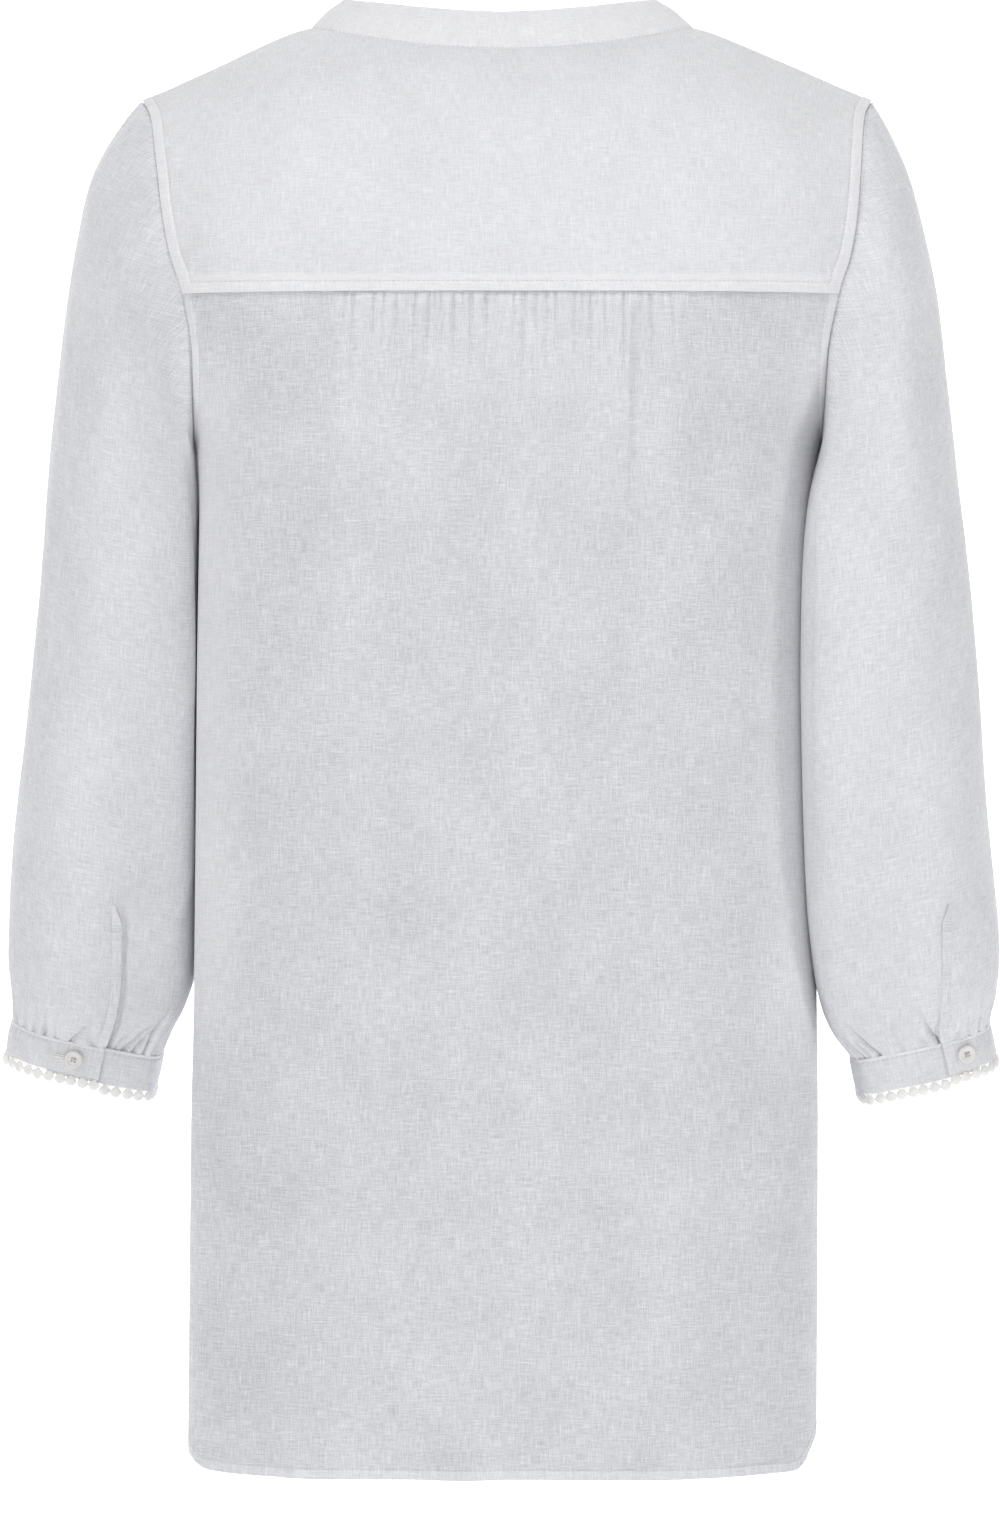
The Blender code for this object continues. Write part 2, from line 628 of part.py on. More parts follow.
def cuff_trim(side, hand):
    """The picot edging under a cuff: a narrow tape with a row of rounded points."""
    travel = np.linspace(0, 2 * math.pi, 721)
    top, _ = cuff_path(side, hand, travel)
    down = cuff_frame(side)[1]
    edge = top + down * (cuff_depth(travel)[:, None] + SEAM)
    line = even(edge, PICOTS * PICOT_STEPS + 1)
    phase = np.arange(len(line)) / PICOT_STEPS
    point = np.abs(np.sin(math.pi * phase)) ** PICOT_ROUND
    drop = PICOT_TAPE + (PICOT_DROP - PICOT_TAPE) * point
    points = np.stack([line, line + down * drop[:, None]])
    cloth("cuff_trim_" + hand, points * [side, 1, 1], PICOT_WALL, COTTON_TRIM)


def placket(side, hand):
    """The folded strip that binds the slit above a cuff, lying on the sleeve."""
    above = SLEEVE_LENGTH - np.array(SLEEVE_ROWS)
    above = np.concatenate([[SLIT_LENGTH], above[above < SLIT_LENGTH], [PLACKET_FOOT]])
    share = above / SLIT_LENGTH
    slit = FLAP_EDGE[hand] * (1 - share) + SLIT_TOP[hand] * share
    down, across = np.meshgrid(SLEEVE_LENGTH - above, np.linspace(0, 1, 3), indexing="ij")
    radius = follow(SLEEVE, "down", "depth", down)
    turn = slit[:, None] - across * PLACKET_WIDTH / radius
    points = sleeve_surface(side, down, turn)
    out = normals(points)
    out *= np.sign(out[..., 1:2])
    points = points + out * (CLOTH / 2 + SEAM + PLACKET_WALL / 2)
    cloth("placket_" + hand, points * [side, 1, 1], PLACKET_WALL, DOUBLE_LINEN)


def button(side, hand):
    """A four-hole shirt button on the cuff's flap."""
    travel = np.array([FLAP_EDGE[hand] - BUTTON_TURN[hand]])
    top, out = cuff_path(side, hand, travel)
    down = cuff_frame(side)[1]
    place = top[0] + down * FLAP_DEPTH / 2
    facing = out[0] * [side, 1, 1]
    seat = place * [side, 1, 1] + facing * (DOUBLE_CLOTH / 2 + BUTTON_SHANK + BUTTON_THICK / 2)
    bm = bmesh.new()
    ends = {"radius1": BUTTON_RADIUS, "radius2": BUTTON_RADIUS, "depth": BUTTON_THICK}
    bmesh.ops.create_cone(bm, cap_ends=True, segments=BUTTON_SIDES, **ends)
    rims = [e for e in bm.edges if abs(e.verts[0].co.z - e.verts[1].co.z) < BUTTON_THICK / 2]
    bmesh.ops.bevel(bm, geom=rims, offset=BUTTON_EDGE, segments=2, affect="EDGES", profile=0.5)
    mesh = bpy.data.meshes.new("button_" + hand)
    bm.to_mesh(mesh)
    bm.free()
    made = finish(mesh, "button_" + hand, PEARL, 0.25)
    cutter = button_hole_cutter("button_holes_" + hand)
    for item in (made, cutter):
        item.location = seat
        item.rotation_mode = "QUATERNION"
        item.rotation_quaternion = track(facing, down * [side, 1, 1])
    holes = made.modifiers.new("holes", "BOOLEAN")
    holes.operation = "DIFFERENCE"
    holes.object = cutter


def track(facing, down):
    """The rotation that turns +Z to face out of the cuff and +Y up along it."""
    z = Vector(facing).normalized()
    x = Vector(down).cross(z).normalized() * -1
    y = z.cross(x)
    return Matrix((x, y, z)).transposed().to_quaternion()


def button_hole_cutter(name):
    """Four small cylinders, hidden, that cut the button's holes."""
    bm = bmesh.new()
    for i in range(4):
        angle = math.pi / 4 + i * math.pi / 2
        made = bmesh.ops.create_cone(
            bm,
            cap_ends=True,
            segments=6,
            radius1=BUTTON_HOLE_RADIUS,
            radius2=BUTTON_HOLE_RADIUS,
            depth=BUTTON_THICK * 2,
        )
        offset = (BUTTON_HOLE_OFFSET * math.cos(angle), BUTTON_HOLE_OFFSET * math.sin(angle), 0)
        bmesh.ops.translate(bm, verts=made["verts"], vec=offset)
    mesh = bpy.data.meshes.new(name)
    bm.to_mesh(mesh)
    bm.free()
    cutter = bpy.data.objects.new(name, mesh)
    cutter.hide_render = True
    cutter.display_type = "WIRE"
    bpy.data.collections["cutters"].objects.link(cutter)
    return cutter


def main():
    """Empties the scene and makes every piece of the tunic."""
    for old in list(bpy.data.objects):
        bpy.data.objects.remove(old, do_unlink=True)
    for name in ("tunic_top", "cutters"):
        bpy.context.scene.collection.children.link(bpy.data.collections.new(name))
    back()
    front()
    yoke()
    neck_band()
    for side, hand in ((1, "left"), (-1, "right")):
        sleeve(side, hand)
        cuff(side, hand)
        cuff_trim(side, hand)
        placket(side, hand)
        button(side, hand)


main()
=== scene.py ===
"""The white linen tunic top with its creases, stitching and linen weave, laid out as an add-on.

Every panel is cut from the same form as the solids, in metres with +Z up: the torso, a rounded
oblong in plan with an arch over the shoulders, or a sleeve, a fan of rounded rings. Creases are
soft troughs and ridges from tables in millimetres, and each panel's UV map is its flat cloth.
"""

import math

import bmesh
import bpy
import numpy as np
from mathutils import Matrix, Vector


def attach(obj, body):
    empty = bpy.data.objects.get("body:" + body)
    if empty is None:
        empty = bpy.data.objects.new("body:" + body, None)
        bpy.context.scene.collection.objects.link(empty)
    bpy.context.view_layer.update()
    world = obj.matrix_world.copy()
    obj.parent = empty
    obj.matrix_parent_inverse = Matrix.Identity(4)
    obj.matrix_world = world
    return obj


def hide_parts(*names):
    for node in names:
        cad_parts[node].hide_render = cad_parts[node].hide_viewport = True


bl_info = {
    "name": "Linen tunic top",
    "version": (1, 0, 0),
    "blender": (4, 5, 0),
    "location": "3D View > Sidebar > Tunic",
    "description": "Makes a gathered linen tunic top, filled out as if worn",
    "category": "Object",
}

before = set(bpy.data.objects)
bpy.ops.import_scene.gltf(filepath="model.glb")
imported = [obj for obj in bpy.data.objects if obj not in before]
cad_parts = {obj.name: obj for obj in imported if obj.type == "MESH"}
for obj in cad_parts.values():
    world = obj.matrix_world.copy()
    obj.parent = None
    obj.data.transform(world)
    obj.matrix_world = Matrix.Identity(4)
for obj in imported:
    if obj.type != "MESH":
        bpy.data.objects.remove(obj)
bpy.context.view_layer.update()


def table(columns, *rows):
    """A short table as one array for each named column."""
    return dict(zip(columns.split(), np.array(rows, float).T))


# The torso's form
OBLONG = 2.8
SHOULDER_ROUND = 0.14
SHOULDER_SLOPE = 0.449
SHOULDER_START = 0.118
SHOULDER_SOFTNESS = 0.01
HEM = -0.8625
HEM_LIFT = 0.0045
HEM_CORNER = 8
HEM_CORNER_LIFT = (0.012, 0.024)
UNDERARM = -0.252
SEAM = 0.0003
TORSO = table(
    "z side back front lean",
    (0.030, 0.2750, 0.113, 0.119, 0.0020),
    (-0.045, 0.2620, 0.116, 0.123, -0.0030),
    (-0.157, 0.2290, 0.118, 0.128, -0.0050),
    (-0.205, 0.2075, 0.117, 0.128, -0.0045),
    (UNDERARM, 0.1868, 0.115, 0.126, -0.0035),
    (-0.290, 0.1838, 0.114, 0.125, -0.0028),
    (-0.400, 0.1845, 0.113, 0.124, -0.0020),
    (-0.580, 0.1862, 0.114, 0.125, -0.0020),
    (-0.660, 0.1875, 0.116, 0.127, -0.0015),
    (-0.870, 0.1880, 0.119, 0.130, 0.0000),
)
ARMHOLE = table(
    "z x",
    (-0.0430, 0.2190),
    (-0.0560, 0.2126),
    (-0.0800, 0.2095),
    (-0.1150, 0.2057),
    (-0.1400, 0.2010),
    (-0.1600, 0.1945),
    (-0.2000, 0.1880),
    (UNDERARM, 0.1868),
)
ARMHOLE_SETBACK = 0.0006
ARMHOLE_SAMPLES = 801
YOKE_SEAM = -0.162
YOKE_FORWARD = 0.035
NECK_HALF_WIDTH = 0.115
NECK_DROP = 0.0155
V_DEPTH = 0.32
V_CURVE = 1.7
BAND_WIDTH = 0.029
BAND = table("along tilt", (0.0, 21), (1.0, 30), (1.2, 20), (1.5, 6), (2.0, 2))

# The sleeves' form. A turn is 0 at the inside of a sleeve, pi / 2 at its front, pi at its
# outside and 3 pi / 2 at its back; down is the distance from the armhole along the sleeve.
SLEEVE_ROUND = 2.3
CORNER_TURN = 5.5  # where a sleeve is squarer, since it fills the valley beside the back
CORNER_ROUND = 2.0
SLEEVE_CLEAR = 0.0010
CLEAR_SOFTNESS = 0.0012
CAP_BLEND = 0.055
SLEEVE = table(
    "down out_z in_z out_left out_right in_left in_right mid_left mid_right depth tilt",
    (0.000, -0.0440, -0.2520, 0.2197, 0.2222, 0.1840, 0.1905, -0.004, -0.004, 0.083, 0),
    (0.022, -0.0600, -0.2524, 0.2327, 0.2321, 0.1842, 0.1905, -0.009, 0.004, 0.082, 0),
    (0.050, -0.0850, -0.2560, 0.2450, 0.2419, 0.1830, 0.1890, -0.014, 0.010, 0.079, 0),
    (0.087, -0.1200, -0.2620, 0.2541, 0.2515, 0.1815, 0.1872, -0.020, 0.017, 0.075, 0),
    (0.133, -0.1650, -0.2710, 0.2621, 0.2604, 0.1800, 0.1845, -0.026, 0.024, 0.071, 1),
    (0.183, -0.2150, -0.2850, 0.2682, 0.2657, 0.1785, 0.1815, -0.031, 0.030, 0.068, 2),
    (0.234, -0.2650, -0.3080, 0.2733, 0.2708, 0.1775, 0.1790, -0.035, 0.036, 0.066, 3),
    (0.284, -0.3150, -0.3400, 0.2767, 0.2768, 0.1772, 0.1775, -0.037, 0.040, 0.064, 4),
    (0.335, -0.3650, -0.3800, 0.2818, 0.2812, 0.1775, 0.1770, -0.040, 0.043, 0.063, 5),
    (0.385, -0.4150, -0.4240, 0.2870, 0.2847, 0.1785, 0.1775, -0.043, 0.044, 0.062, 7),
    (0.435, -0.4650, -0.4700, 0.2930, 0.2885, 0.1798, 0.1785, -0.046, 0.042, 0.060, 9),
    (0.485, -0.5150, -0.5180, 0.2973, 0.2936, 0.1822, 0.1803, -0.052, 0.036, 0.056, 11),
    (0.525, -0.5530, -0.5600, 0.2986, 0.2966, 0.1845, 0.1850, -0.057, 0.026, 0.051, 12),
    (0.552, -0.5750, -0.5850, 0.2970, 0.2953, 0.1920, 0.1912, -0.061, 0.018, 0.044, 13),
    (0.566, -0.5870, -0.5985, 0.2965, 0.2929, 0.1990, 0.1972, -0.063, 0.012, 0.036, 13),
    (0.575, -0.5945, -0.6130, 0.2966, 0.2918, 0.2050, 0.2079, -0.0645, 0.008, 0.026, 13),
)
SLEEVE_LENGTH = SLEEVE["down"][-1]
HANDS = ((1, "left"), (-1, "right"))  # the left sleeve lies on +X, and the right one mirrors it
SLEEVE_AROUND = 0.40  # flat width of a sleeve
SLEEVE_COLUMNS = 271
SLEEVE_ROWS = 122
FINE_TURN = 4.75  # the columns crowd here, where the slits and the gathers in the photo are
FLAP_DEPTH = 0.0200
UNDERLAP_DEPTH = 0.0225
LAP = 0.55
LAP_BLEND = 0.6
FLAP_EDGE = {"left": 4.856, "right": 4.479}
BUTTON_TURN = {"left": 4.637, "right": 4.161}
BUTTON_SHANK = 0.0005
BUTTON_HOLE_RADIUS = 0.0007
BUTTON_HOLE_OFFSET = 0.0013
SLIT_LENGTH = 0.092
PLACKET_WIDTH = 0.0058
PLACKET_WALL = 0.0008
PLACKET_LIFT = 0.0010
SLIT_RADIUS = 0.045  # the sleeve's own, to turn an angle at its slit into metres
SLIT_GAPE = {"left": 0.0022, "right": 0.0003}
PLACKET_SHOWS = {"left": 1.0, "right": 0.1}  # how much lighter than the sleeve it looks
SLIT_TOP = {"left": 4.828, "right": 4.356}
PICOTS = 35
PICOT_ROUNDNESS = 1.6
PICOT_RINGS = 11
PICOT_SIDES = 18
PICOT_PUFF = 0.0015
PICOT_GAP = 0.0003  # from the cuff's edge to the top of a picot
CUFF_WALL = 0.0016

# Sewing, in metres
STRIP = 0.0055  # width of the pressed seam allowances, which end at a row of stitches
YOKE_STRIP = 0.0096
YOKE_ROWS = (0, 0.4, 0.9, 1.5, 2.2, 3.0, 3.8, 4.4, 4.8, 5.1, 5.5, 5.9, 6.2, 6.7, 7.6, 9, 11)  # in mm
YOKE_STITCH_ROW = 10
BAND_ROWS = (0, 0.6, 1.1, 1.6, 2.1, 2.8, 4, 6, 8.5, 11.5, 15, 18.5, 22, 25, 27.3, 28.4, 29)  # in mm
BAND_STITCH_ROW = 3
CUFF_STITCH_ROW = 4
STRIP_RISE = 0.00035
GROOVE = 0.00045  # how far a row of stitches pulls the cloth in
GROOVE_HALF_WIDTH = 0.0007
HEM_DEPTH = 0.0055
BAND_STITCHES = 0.0016
CUFF_STITCHES = 0.0022
BAR_PITCH = 0.00042  # from one bar of a buttonhole's thread to the next
BAR_OFFSET = 0.00068  # from the buttonhole's cut to the middle of a bar

# How pale the linen looks, from 0 for one loose layer to 1 for the seams' four layers; the entries
# beside the sleeves and on the gathers' ridges are painted light instead
YOKE_PALE = 0.6
BAND_PALE = 0.85
CUFF_PALE = 0.48
PLACKET_PALE = 0.22
SLEEVE_PALE = 0.36
SLEEVE_INSIDE_PAINTED_LIGHT = 0.96  # painted light on the sleeve's inside beside the body, lifting the shade that falls between sleeve and body
BODY_SIDE_PAINTED_LIGHT = 0.85  # painted light on the back beside the sleeves, lifting the shade that falls between them and the body
ARMHOLE_PALE = 0.5
HEM_PALE = 0.45
# painted highlight on the ridges of the gathers under the yoke
PLEAT_RIDGE_PAINTED_LIGHT = 0.45

# Creases: where each starts across and down its panel, the way it runs in degrees from straight
# down, its length, half width and depth, and the share of its length over which it swells. All
# lengths are in millimetres. A depth below 0 is a ridge. Half widths below 0 lean the other way.
CREASE = "x y way long wide deep swell"
BACK_GATHERS = table(
    CREASE,
    (108, -4, 4, 42, 1.86, 0.7, 0),
    (97.2, -4, 3, 60, 1.24, 1.4, 0),
    (92.5, -4, 3, 95, -0.99, 2.1, 0),
    (88.0, 2, 3, 120, 1.86, -1.1, 0.1),
    (80.1, -4, 2, 70, 1.36, 1.7, 0),
    (74.2, -4, 1, 48, 1.12, 1.8, 0),
    (70.5, 2, 1, 80, 1.36, -1.0, 0.1),
    (67.1, -4, 1, 80, 1.18, 1.7, 0),
    (61.5, -4, 0, 34, 1.12, 1.3, 0),
    (56.5, -4, 1, 90, -1.36, 2.0, 0),
    (51.8, 2, 1, 90, 1.49, -1.0, 0.1),
    (47.7, -4, 2, 80, -0.93, 2.1, 0),
    (44.5, -4, 0, 40, 0.87, 1.7, 0),
    (41.2, -4, -1, 70, 1.12, 1.5, 0),
    (37.0, 2, 0, 60, 1.24, -0.8, 0.1),
    (33.6, -4, -1, 80, 1.30, 1.8, 0),
    (28.0, -4, 0, 36, 1.18, 1.3, 0),
    (23.6, -4, 0, 90, -1.43, 2.0, 0),
    (19.0, 2, 0, 60, 1.24, -0.7, 0.1),
    (14.1, -4, 0, 80, 1.24, 1.8, 0),
    (8.6, -4, 0, 40, 0.99, 1.2, 0),
    (4.0, 2, 0, 90, 1.49, -1.1, 0.1),
    (-1.8, -4, 0, 70, -0.99, 1.9, 0),
    (-8.2, -4, 0, 90, 1.61, 1.9, 0),
    (-14.8, -4, -1, 50, 1.24, 1.4, 0),
    (-21.2, -4, 0, 80, 1.24, 1.8, 0),
    (-26.5, -4, 0, 70, 0.99, 1.5, 0),
    (-32.0, 2, 0, 70, 1.36, -1.0, 0.1),
    (-37.7, -4, 0, 75, 1.24, 1.8, 0),
    (-42.5, -4, 0, 36, 0.99, 1.4, 0),
    (-47.1, -4, -1, 95, 0.93, 2.0, 0),
    (-51.0, 2, -1, 120, 1.49, -1.0, 0.1),
    (-55.4, -4, 0, 70, 1.12, 1.7, 0),
    (-60.8, -4, 0, 44, 1.24, 1.3, 0),
    (-66.6, -4, 0, 120, 0.87, 2.0, 0),
    (-70.6, 2, 0, 150, 1.61, -1.1, 0.1),
    (-76.0, -4, -2, 40, 1.12, 1.4, 0),
    (-82.0, -4, -3, 80, 1.36, 1.8, 0),
    (-88.5, -4, -3, 40, 1.12, 1.2, 0),
    (-94.2, -4, -4, 90, 1.36, 1.9, 0),
    (-104, -4, -5, 46, 1.74, 0.9, 0),
)
BACK_CREASES = table(
    CREASE,
    (62, 132, 84, 90, 4.0, 0.9, 0.4),
    (77, 4, 1, 120, 4.5, -1.7, 0.06),
    (89, 4, 2, 90, 4.0, 1.5, 0.06),
    (66, 4, 1, 110, 4.0, 1.6, 0.06),
    (54, 4, 0, 100, 4.5, -1.7, 0.06),
    (46, 4, 0, 80, 3.5, 1.6, 0.06),
    (37, 4, 0, 120, 4.5, -1.7, 0.06),
    (14, 4, 0, 90, 5.0, 1.5, 0.06),
    (-3, 4, 0, 130, 5.0, -1.8, 0.06),
    (-12, 4, 1, 150, 4.0, 2.4, 0.06),
    (-36, 4, 0, 110, 4.5, -1.7, 0.06),
    (-52, 4, 0, 100, 4.5, 1.8, 0.06),
    (-69, 4, 0, 170, 4.0, -2.4, 0.06),
    (-76, 4, 0, 150, 4.0, 1.8, 0.06),
    (-89, 4, -2, 90, 4.5, 1.6, 0.06),
    (-97, 4, -2, 90, 4.0, -1.2, 0.06),
    (-78, 16, -2, 240, 8.0, 1.4, 0.1),
    (-104, 20, -4, 200, 9.0, -1.2, 0.2),
    (112, 20, 6, 200, 9.0, 1.2, 0.2),
    (150, 30, 24, 150, 9.0, 1.3, 0.4),
    (-150, 24, -26, 170, 9.0, 1.2, 0.4),
    (128, 60, 14, 210, 12, -1.2, 0.4),
    (-132, 90, -10, 240, 13, -1.1, 0.4),
    (30, 150, 3, 330, 14, 1.1, 0.5),
    (-28, 120, -2, 300, 12, -0.9, 0.5),
    (-60, 190, 2, 320, 12, 0.9, 0.5),
    (90, 230, 4, 330, 13, -1.0, 0.5),
    (175, 452, 96, 120, 5.0, -0.7, 0.5),
    (172, 478, 84, 90, 4.0, 0.7, 0.5),
    (-60, 500, 70, 80, 6.0, 0.6, 0.5),
    (20, 560, 100, 90, 7.0, -0.5, 0.5),
    (-150, 470, 262, 80, 6.0, 0.7, 0.5),
    (-120, 590, 80, 90, 7.0, -0.6, 0.5),
    (110, 620, 95, 70, 6.0, 0.5, 0.5),
)
FRONT_CREASES = table(
    CREASE,
    (150, 60, 26, 160, 9.0, 1.3, 0.4),
    (-148, 50, -22, 170, 9.5, 1.2, 0.4),
    (30, 190, 8, 300, 11, 1.2, 0.4),
    (-24, 210, -6, 280, 10, 1.0, 0.4),
    (84, 170, 5, 380, 13, -1.1, 0.5),
    (-92, 200, -3, 360, 14, -1.2, 0.5),
    (8, 330, 2, 330, 12, -0.8, 0.5),
    (-60, 420, 84, 90, 6.0, 0.6, 0.5),
    (100, 470, 97, 110, 6.0, -0.6, 0.5),
    (-130, 560, 80, 90, 7.0, 0.6, 0.5),
)
BODY_FOLDS = table(
    "x wide deep",
    (128, 26, 2.6),
    (62, 30, 2.0),
    (-4, 34, 2.4),
    (-72, 28, 2.2),
    (-126, 24, 3.0),
)
FOLD_START = -0.30
FOLD_GROWTH = 0.55
EDGE_FADE = 0.10
YOKE_CREASES = table(
    CREASE,
    (150, 30, 30, 60, 7.0, 0.5, 0.5),
    (-120, 40, -24, 70, 8.0, 0.5, 0.5),
    (60, 60, 8, 60, 9.0, -0.4, 0.5),
    (-40, 50, -6, 70, 9.0, 0.4, 0.5),
)
# Creases of a sleeve: x is the way round it from its back, towards its inside where above 0
SLEEVE_CREASES = {
    "left": table(
        CREASE,
        (-56, -2, -6, 52, 3.0, 1.6, 0),
        (-67, -2, -5, 70, 3.2, 2.2, 0),
        (-74, 3, -5, 70, 3.4, -1.1, 0.1),
        (-80, -2, -3, 62, 3.2, 2.0, 0),
        (-92, -2, -2, 76, 3.4, 2.2, 0),
        (-104, -2, 0, 60, 3.2, 1.6, 0),
        (-48, 130, -1, 380, 5.5, -1.9, 0.3),
        (-58, 110, -1, 400, 8.0, 2.2, 0.3),
        (58, 210, 2, 300, 5.0, 1.7, 0.3),
        (-40, -2, -8, 34, 2.4, 0.9, 0),
        (-20, -2, -6, 30, 2.2, 0.7, 0),
        (-48, 90, -3, 330, 15, 1.6, 0.4),
        (6, 150, 2, 300, 14, -1.5, 0.5),
        (44, 70, 6, 300, 12, 1.6, 0.4),
        (-80, 200, 2, 300, 14, -1.3, 0.5),
        (40, 440, -35, 90, 7.0, 1.6, 0.5),
        (66, 452, -30, 80, 6.0, -1.2, 0.5),
        (-30, 480, 6, 80, 9.0, 1.2, 0.5),
    ),
    "right": table(
        CREASE,
        (-58, -2, -6, 60, 3.0, 1.8, 0),
        (-70, -2, -4, 74, 3.2, 2.2, 0),
        (-76, 3, -5, 70, 3.2, -1.1, 0.1),
        (-84, -2, -3, 64, 3.2, 1.9, 0),
        (-97, -2, 0, 58, 3.4, 1.8, 0),
        (-52, 250, 0, 280, 5.5, -1.4, 0.4),
        (52, 190, 3, 320, 6.0, 1.6, 0.3),
        (-38, -2, -8, 40, 2.4, 1.0, 0),
        (-16, -2, -6, 30, 2.2, 0.7, 0),
        (-40, 110, -2, 300, 15, 1.8, 0.4),
        (10, 110, 4, 330, 15, -1.4, 0.5),
        (56, 60, 8, 140, 9.0, 1.8, 0.4),
        (70, 170, 6, 260, 12, -1.2, 0.5),
        (-78, 180, 0, 300, 13, -1.3, 0.5),
        (-56, 470, 0, 90, 9.0, 1.2, 0.5),
        (30, 470, 20, 80, 9.0, -1.0, 0.5),
    ),
}
HIDDEN_SLEEVE_CREASES = table(
    CREASE,
    (130, -2, 5, 55, 3.0, 1.2, 0),
    (152, -2, 6, 48, 2.8, 1.1, 0),
    (-128, -2, -4, 50, 2.8, 1.0, 0),
    (170, 90, 2, 320, 14, 1.5, 0.4),
    (-150, 120, -4, 320, 14, -1.4, 0.5),
    (120, 160, 4, 280, 13, 1.4, 0.5),
    (150, 470, 8, 80, 9.0, 1.2, 0.5),
    (-140, 478, -6, 80, 8.0, -1.1, 0.5),
)
# Gathers above a cuff: place round it as a turn, how far it runs up, its half width and its depth
CUFF_GATHERS = {
    "left": table(
        "turn long wide deep way",
        (4.94, 18, 0.040, 3.2, 0.20),
        (5.02, 26, 0.048, 4.4, 0.42),
        (5.13, 22, 0.046, 4.0, 0.34),
        (5.29, 34, 0.050, 3.8, 0.16),
        (5.50, 24, 0.050, 3.0, 0.26),
        (5.64, 60, 0.080, 2.8, 0.60),
        (5.85, 30, 0.060, 2.0, 0.20),
        (4.76, 20, 0.040, 1.9, -0.14),
        (4.55, 24, 0.045, 3.0, 0.34),
        (4.36, 40, 0.070, 1.6, -0.10),
        (4.18, 22, 0.050, 3.0, 0.02),
        (3.98, 34, 0.050, 2.0, 0.00),
        (3.74, 26, 0.055, 1.5, 0.05),
        (3.50, 44, 0.060, 2.4, -0.15),
    ),
    "right": table(
        "turn long wide deep way",
        (4.50, 38, 0.036, 3.4, 0.28),
        (4.30, 28, 0.060, 2.0, -0.50),
        (4.68, 20, 0.055, 1.2, 0.10),
        (4.86, 24, 0.060, 1.5, 0.05),
        (5.10, 26, 0.042, 4.2, 0.30),
        (5.26, 20, 0.050, 2.2, 0.10),
        (5.38, 16, 0.060, 4.6, 0.30),
        (5.52, 26, 0.060, 3.8, 0.55),
        (5.72, 26, 0.060, 2.2, 0.20),
        (5.95, 30, 0.060, 1.6, 0.00),
        (4.02, 30, 0.050, 1.8, 0.05),
        (3.80, 34, 0.055, 2.0, -0.05),
        (3.52, 38, 0.060, 2.3, -0.10),
    ),
}
HIDDEN_CUFF_GATHERS = table(
    "turn long wide deep way",
    (6.20, 34, 0.060, 2.0, 0.10),
    (0.18, 40, 0.055, 2.6, 0.00),
    (0.42, 26, 0.055, 1.6, 0.10),
    (0.66, 36, 0.060, 2.4, -0.10),
    (0.90, 28, 0.050, 1.8, 0.00),
    (1.12, 42, 0.060, 2.8, 0.10),
    (1.38, 30, 0.055, 1.7, 0.00),
    (1.62, 38, 0.060, 2.5, -0.05),
    (1.86, 26, 0.050, 1.6, 0.10),
    (2.10, 40, 0.060, 2.6, 0.05),
    (2.36, 30, 0.055, 1.8, -0.10),
    (2.62, 36, 0.060, 2.3, 0.00),
    (2.88, 28, 0.055, 1.7, 0.10),
    (3.20, 38, 0.060, 2.4, 0.00),
)


def follow(rows, key, column, at):
    """A smooth curve through a table's column: cubics whose slopes are the neighbours' mean."""
    order = np.argsort(rows[key])
    x, y = rows[key][order], rows[column][order]
    step = np.diff(x)
    slope = np.diff(y) / step
    product = slope[:-1] * slope[1:]
    total = np.where(product > 0, slope[:-1] + slope[1:], 1)
    bend = np.where(product > 0, 2 * product / total, 0)
    bend = np.concatenate([slope[:1], bend, slope[-1:]])
    at = np.clip(at, x[0], x[-1])
    i = np.clip(np.searchsorted(x, at) - 1, 0, len(step) - 1)
    t = (at - x[i]) / step[i]
    start = (1 + 2 * t) * (1 - t) ** 2 * y[i] + t * (1 - t) ** 2 * step[i] * bend[i]
    return start + t * t * (3 - 2 * t) * y[i + 1] + t * t * (t - 1) * step[i] * bend[i + 1]


def smooth(t):
    """0 below 0, 1 above 1 and a soft step between: 3 t squared less 2 t cubed."""
    t = np.clip(t, 0, 1)
    return t * t * (3 - 2 * t)


def run_of(points):
    """Distance along a line of points from its first one."""
    return np.concatenate([[0], np.cumsum(np.linalg.norm(np.diff(points, axis=0), axis=1))])


def values_at(run, values, want):
    """Rows of values that stand at distances along a line, joined up to the wanted distances."""
    return np.stack([np.interp(want, run, column) for column in values.T], axis=-1)


def at_distances(points, want):
    """The points of a line at these distances along it."""
    return values_at(run_of(points), points, want)


def even(points, count):
    """The points of a line again, count of them, the same distance apart along it."""
    return at_distances(points, np.linspace(0, run_of(points)[-1], count))


def normals(points, around=False):
    """Unit normals of a grid of points: the cross product of its two directions."""
    if around:
        wide = np.concatenate([points[:, -2:-1], points, points[:, 1:2]], axis=1)
        across = (wide[:, 2:] - wide[:, :-2]) / 2
    else:
        across = np.gradient(points, axis=1)
    n = np.cross(across, np.gradient(points, axis=0))
    return n / np.maximum(np.linalg.norm(n, axis=-1, keepdims=True), 1e-12)


def creased(rows, u, v):
    """How far in creases press the cloth, in metres, at places u across and v down it.

    Each adds depth * exp(-(off / width) squared), where off is the distance from the crease's
    line and the width grows along it, times a soft swelling and a soft fading along its length.
    """
    total = np.zeros(np.broadcast(u, v).shape)
    for x, y, way, long, wide, deep, swell in zip(*rows.values()):
        c, s = math.cos(math.radians(way)), math.sin(math.radians(way))
        dx, dy = u * 1000 - x, v * 1000 - y
        along = (dy * c + dx * s) / long
        off = (dx * c - dy * s) / wide
        width = (1 + 0.35 * np.tanh(off)) * (1 + 0.7 * np.clip(along, 0, 1))
        if swell:
            grown = smooth(along / swell) * smooth((1 - along) / (1 - swell))
        else:
            grown = np.clip(1 - along, 0, 1) ** 1.6
        total = total + deep / 1000 * np.exp(-((off / width) ** 2)) * grown
    return total


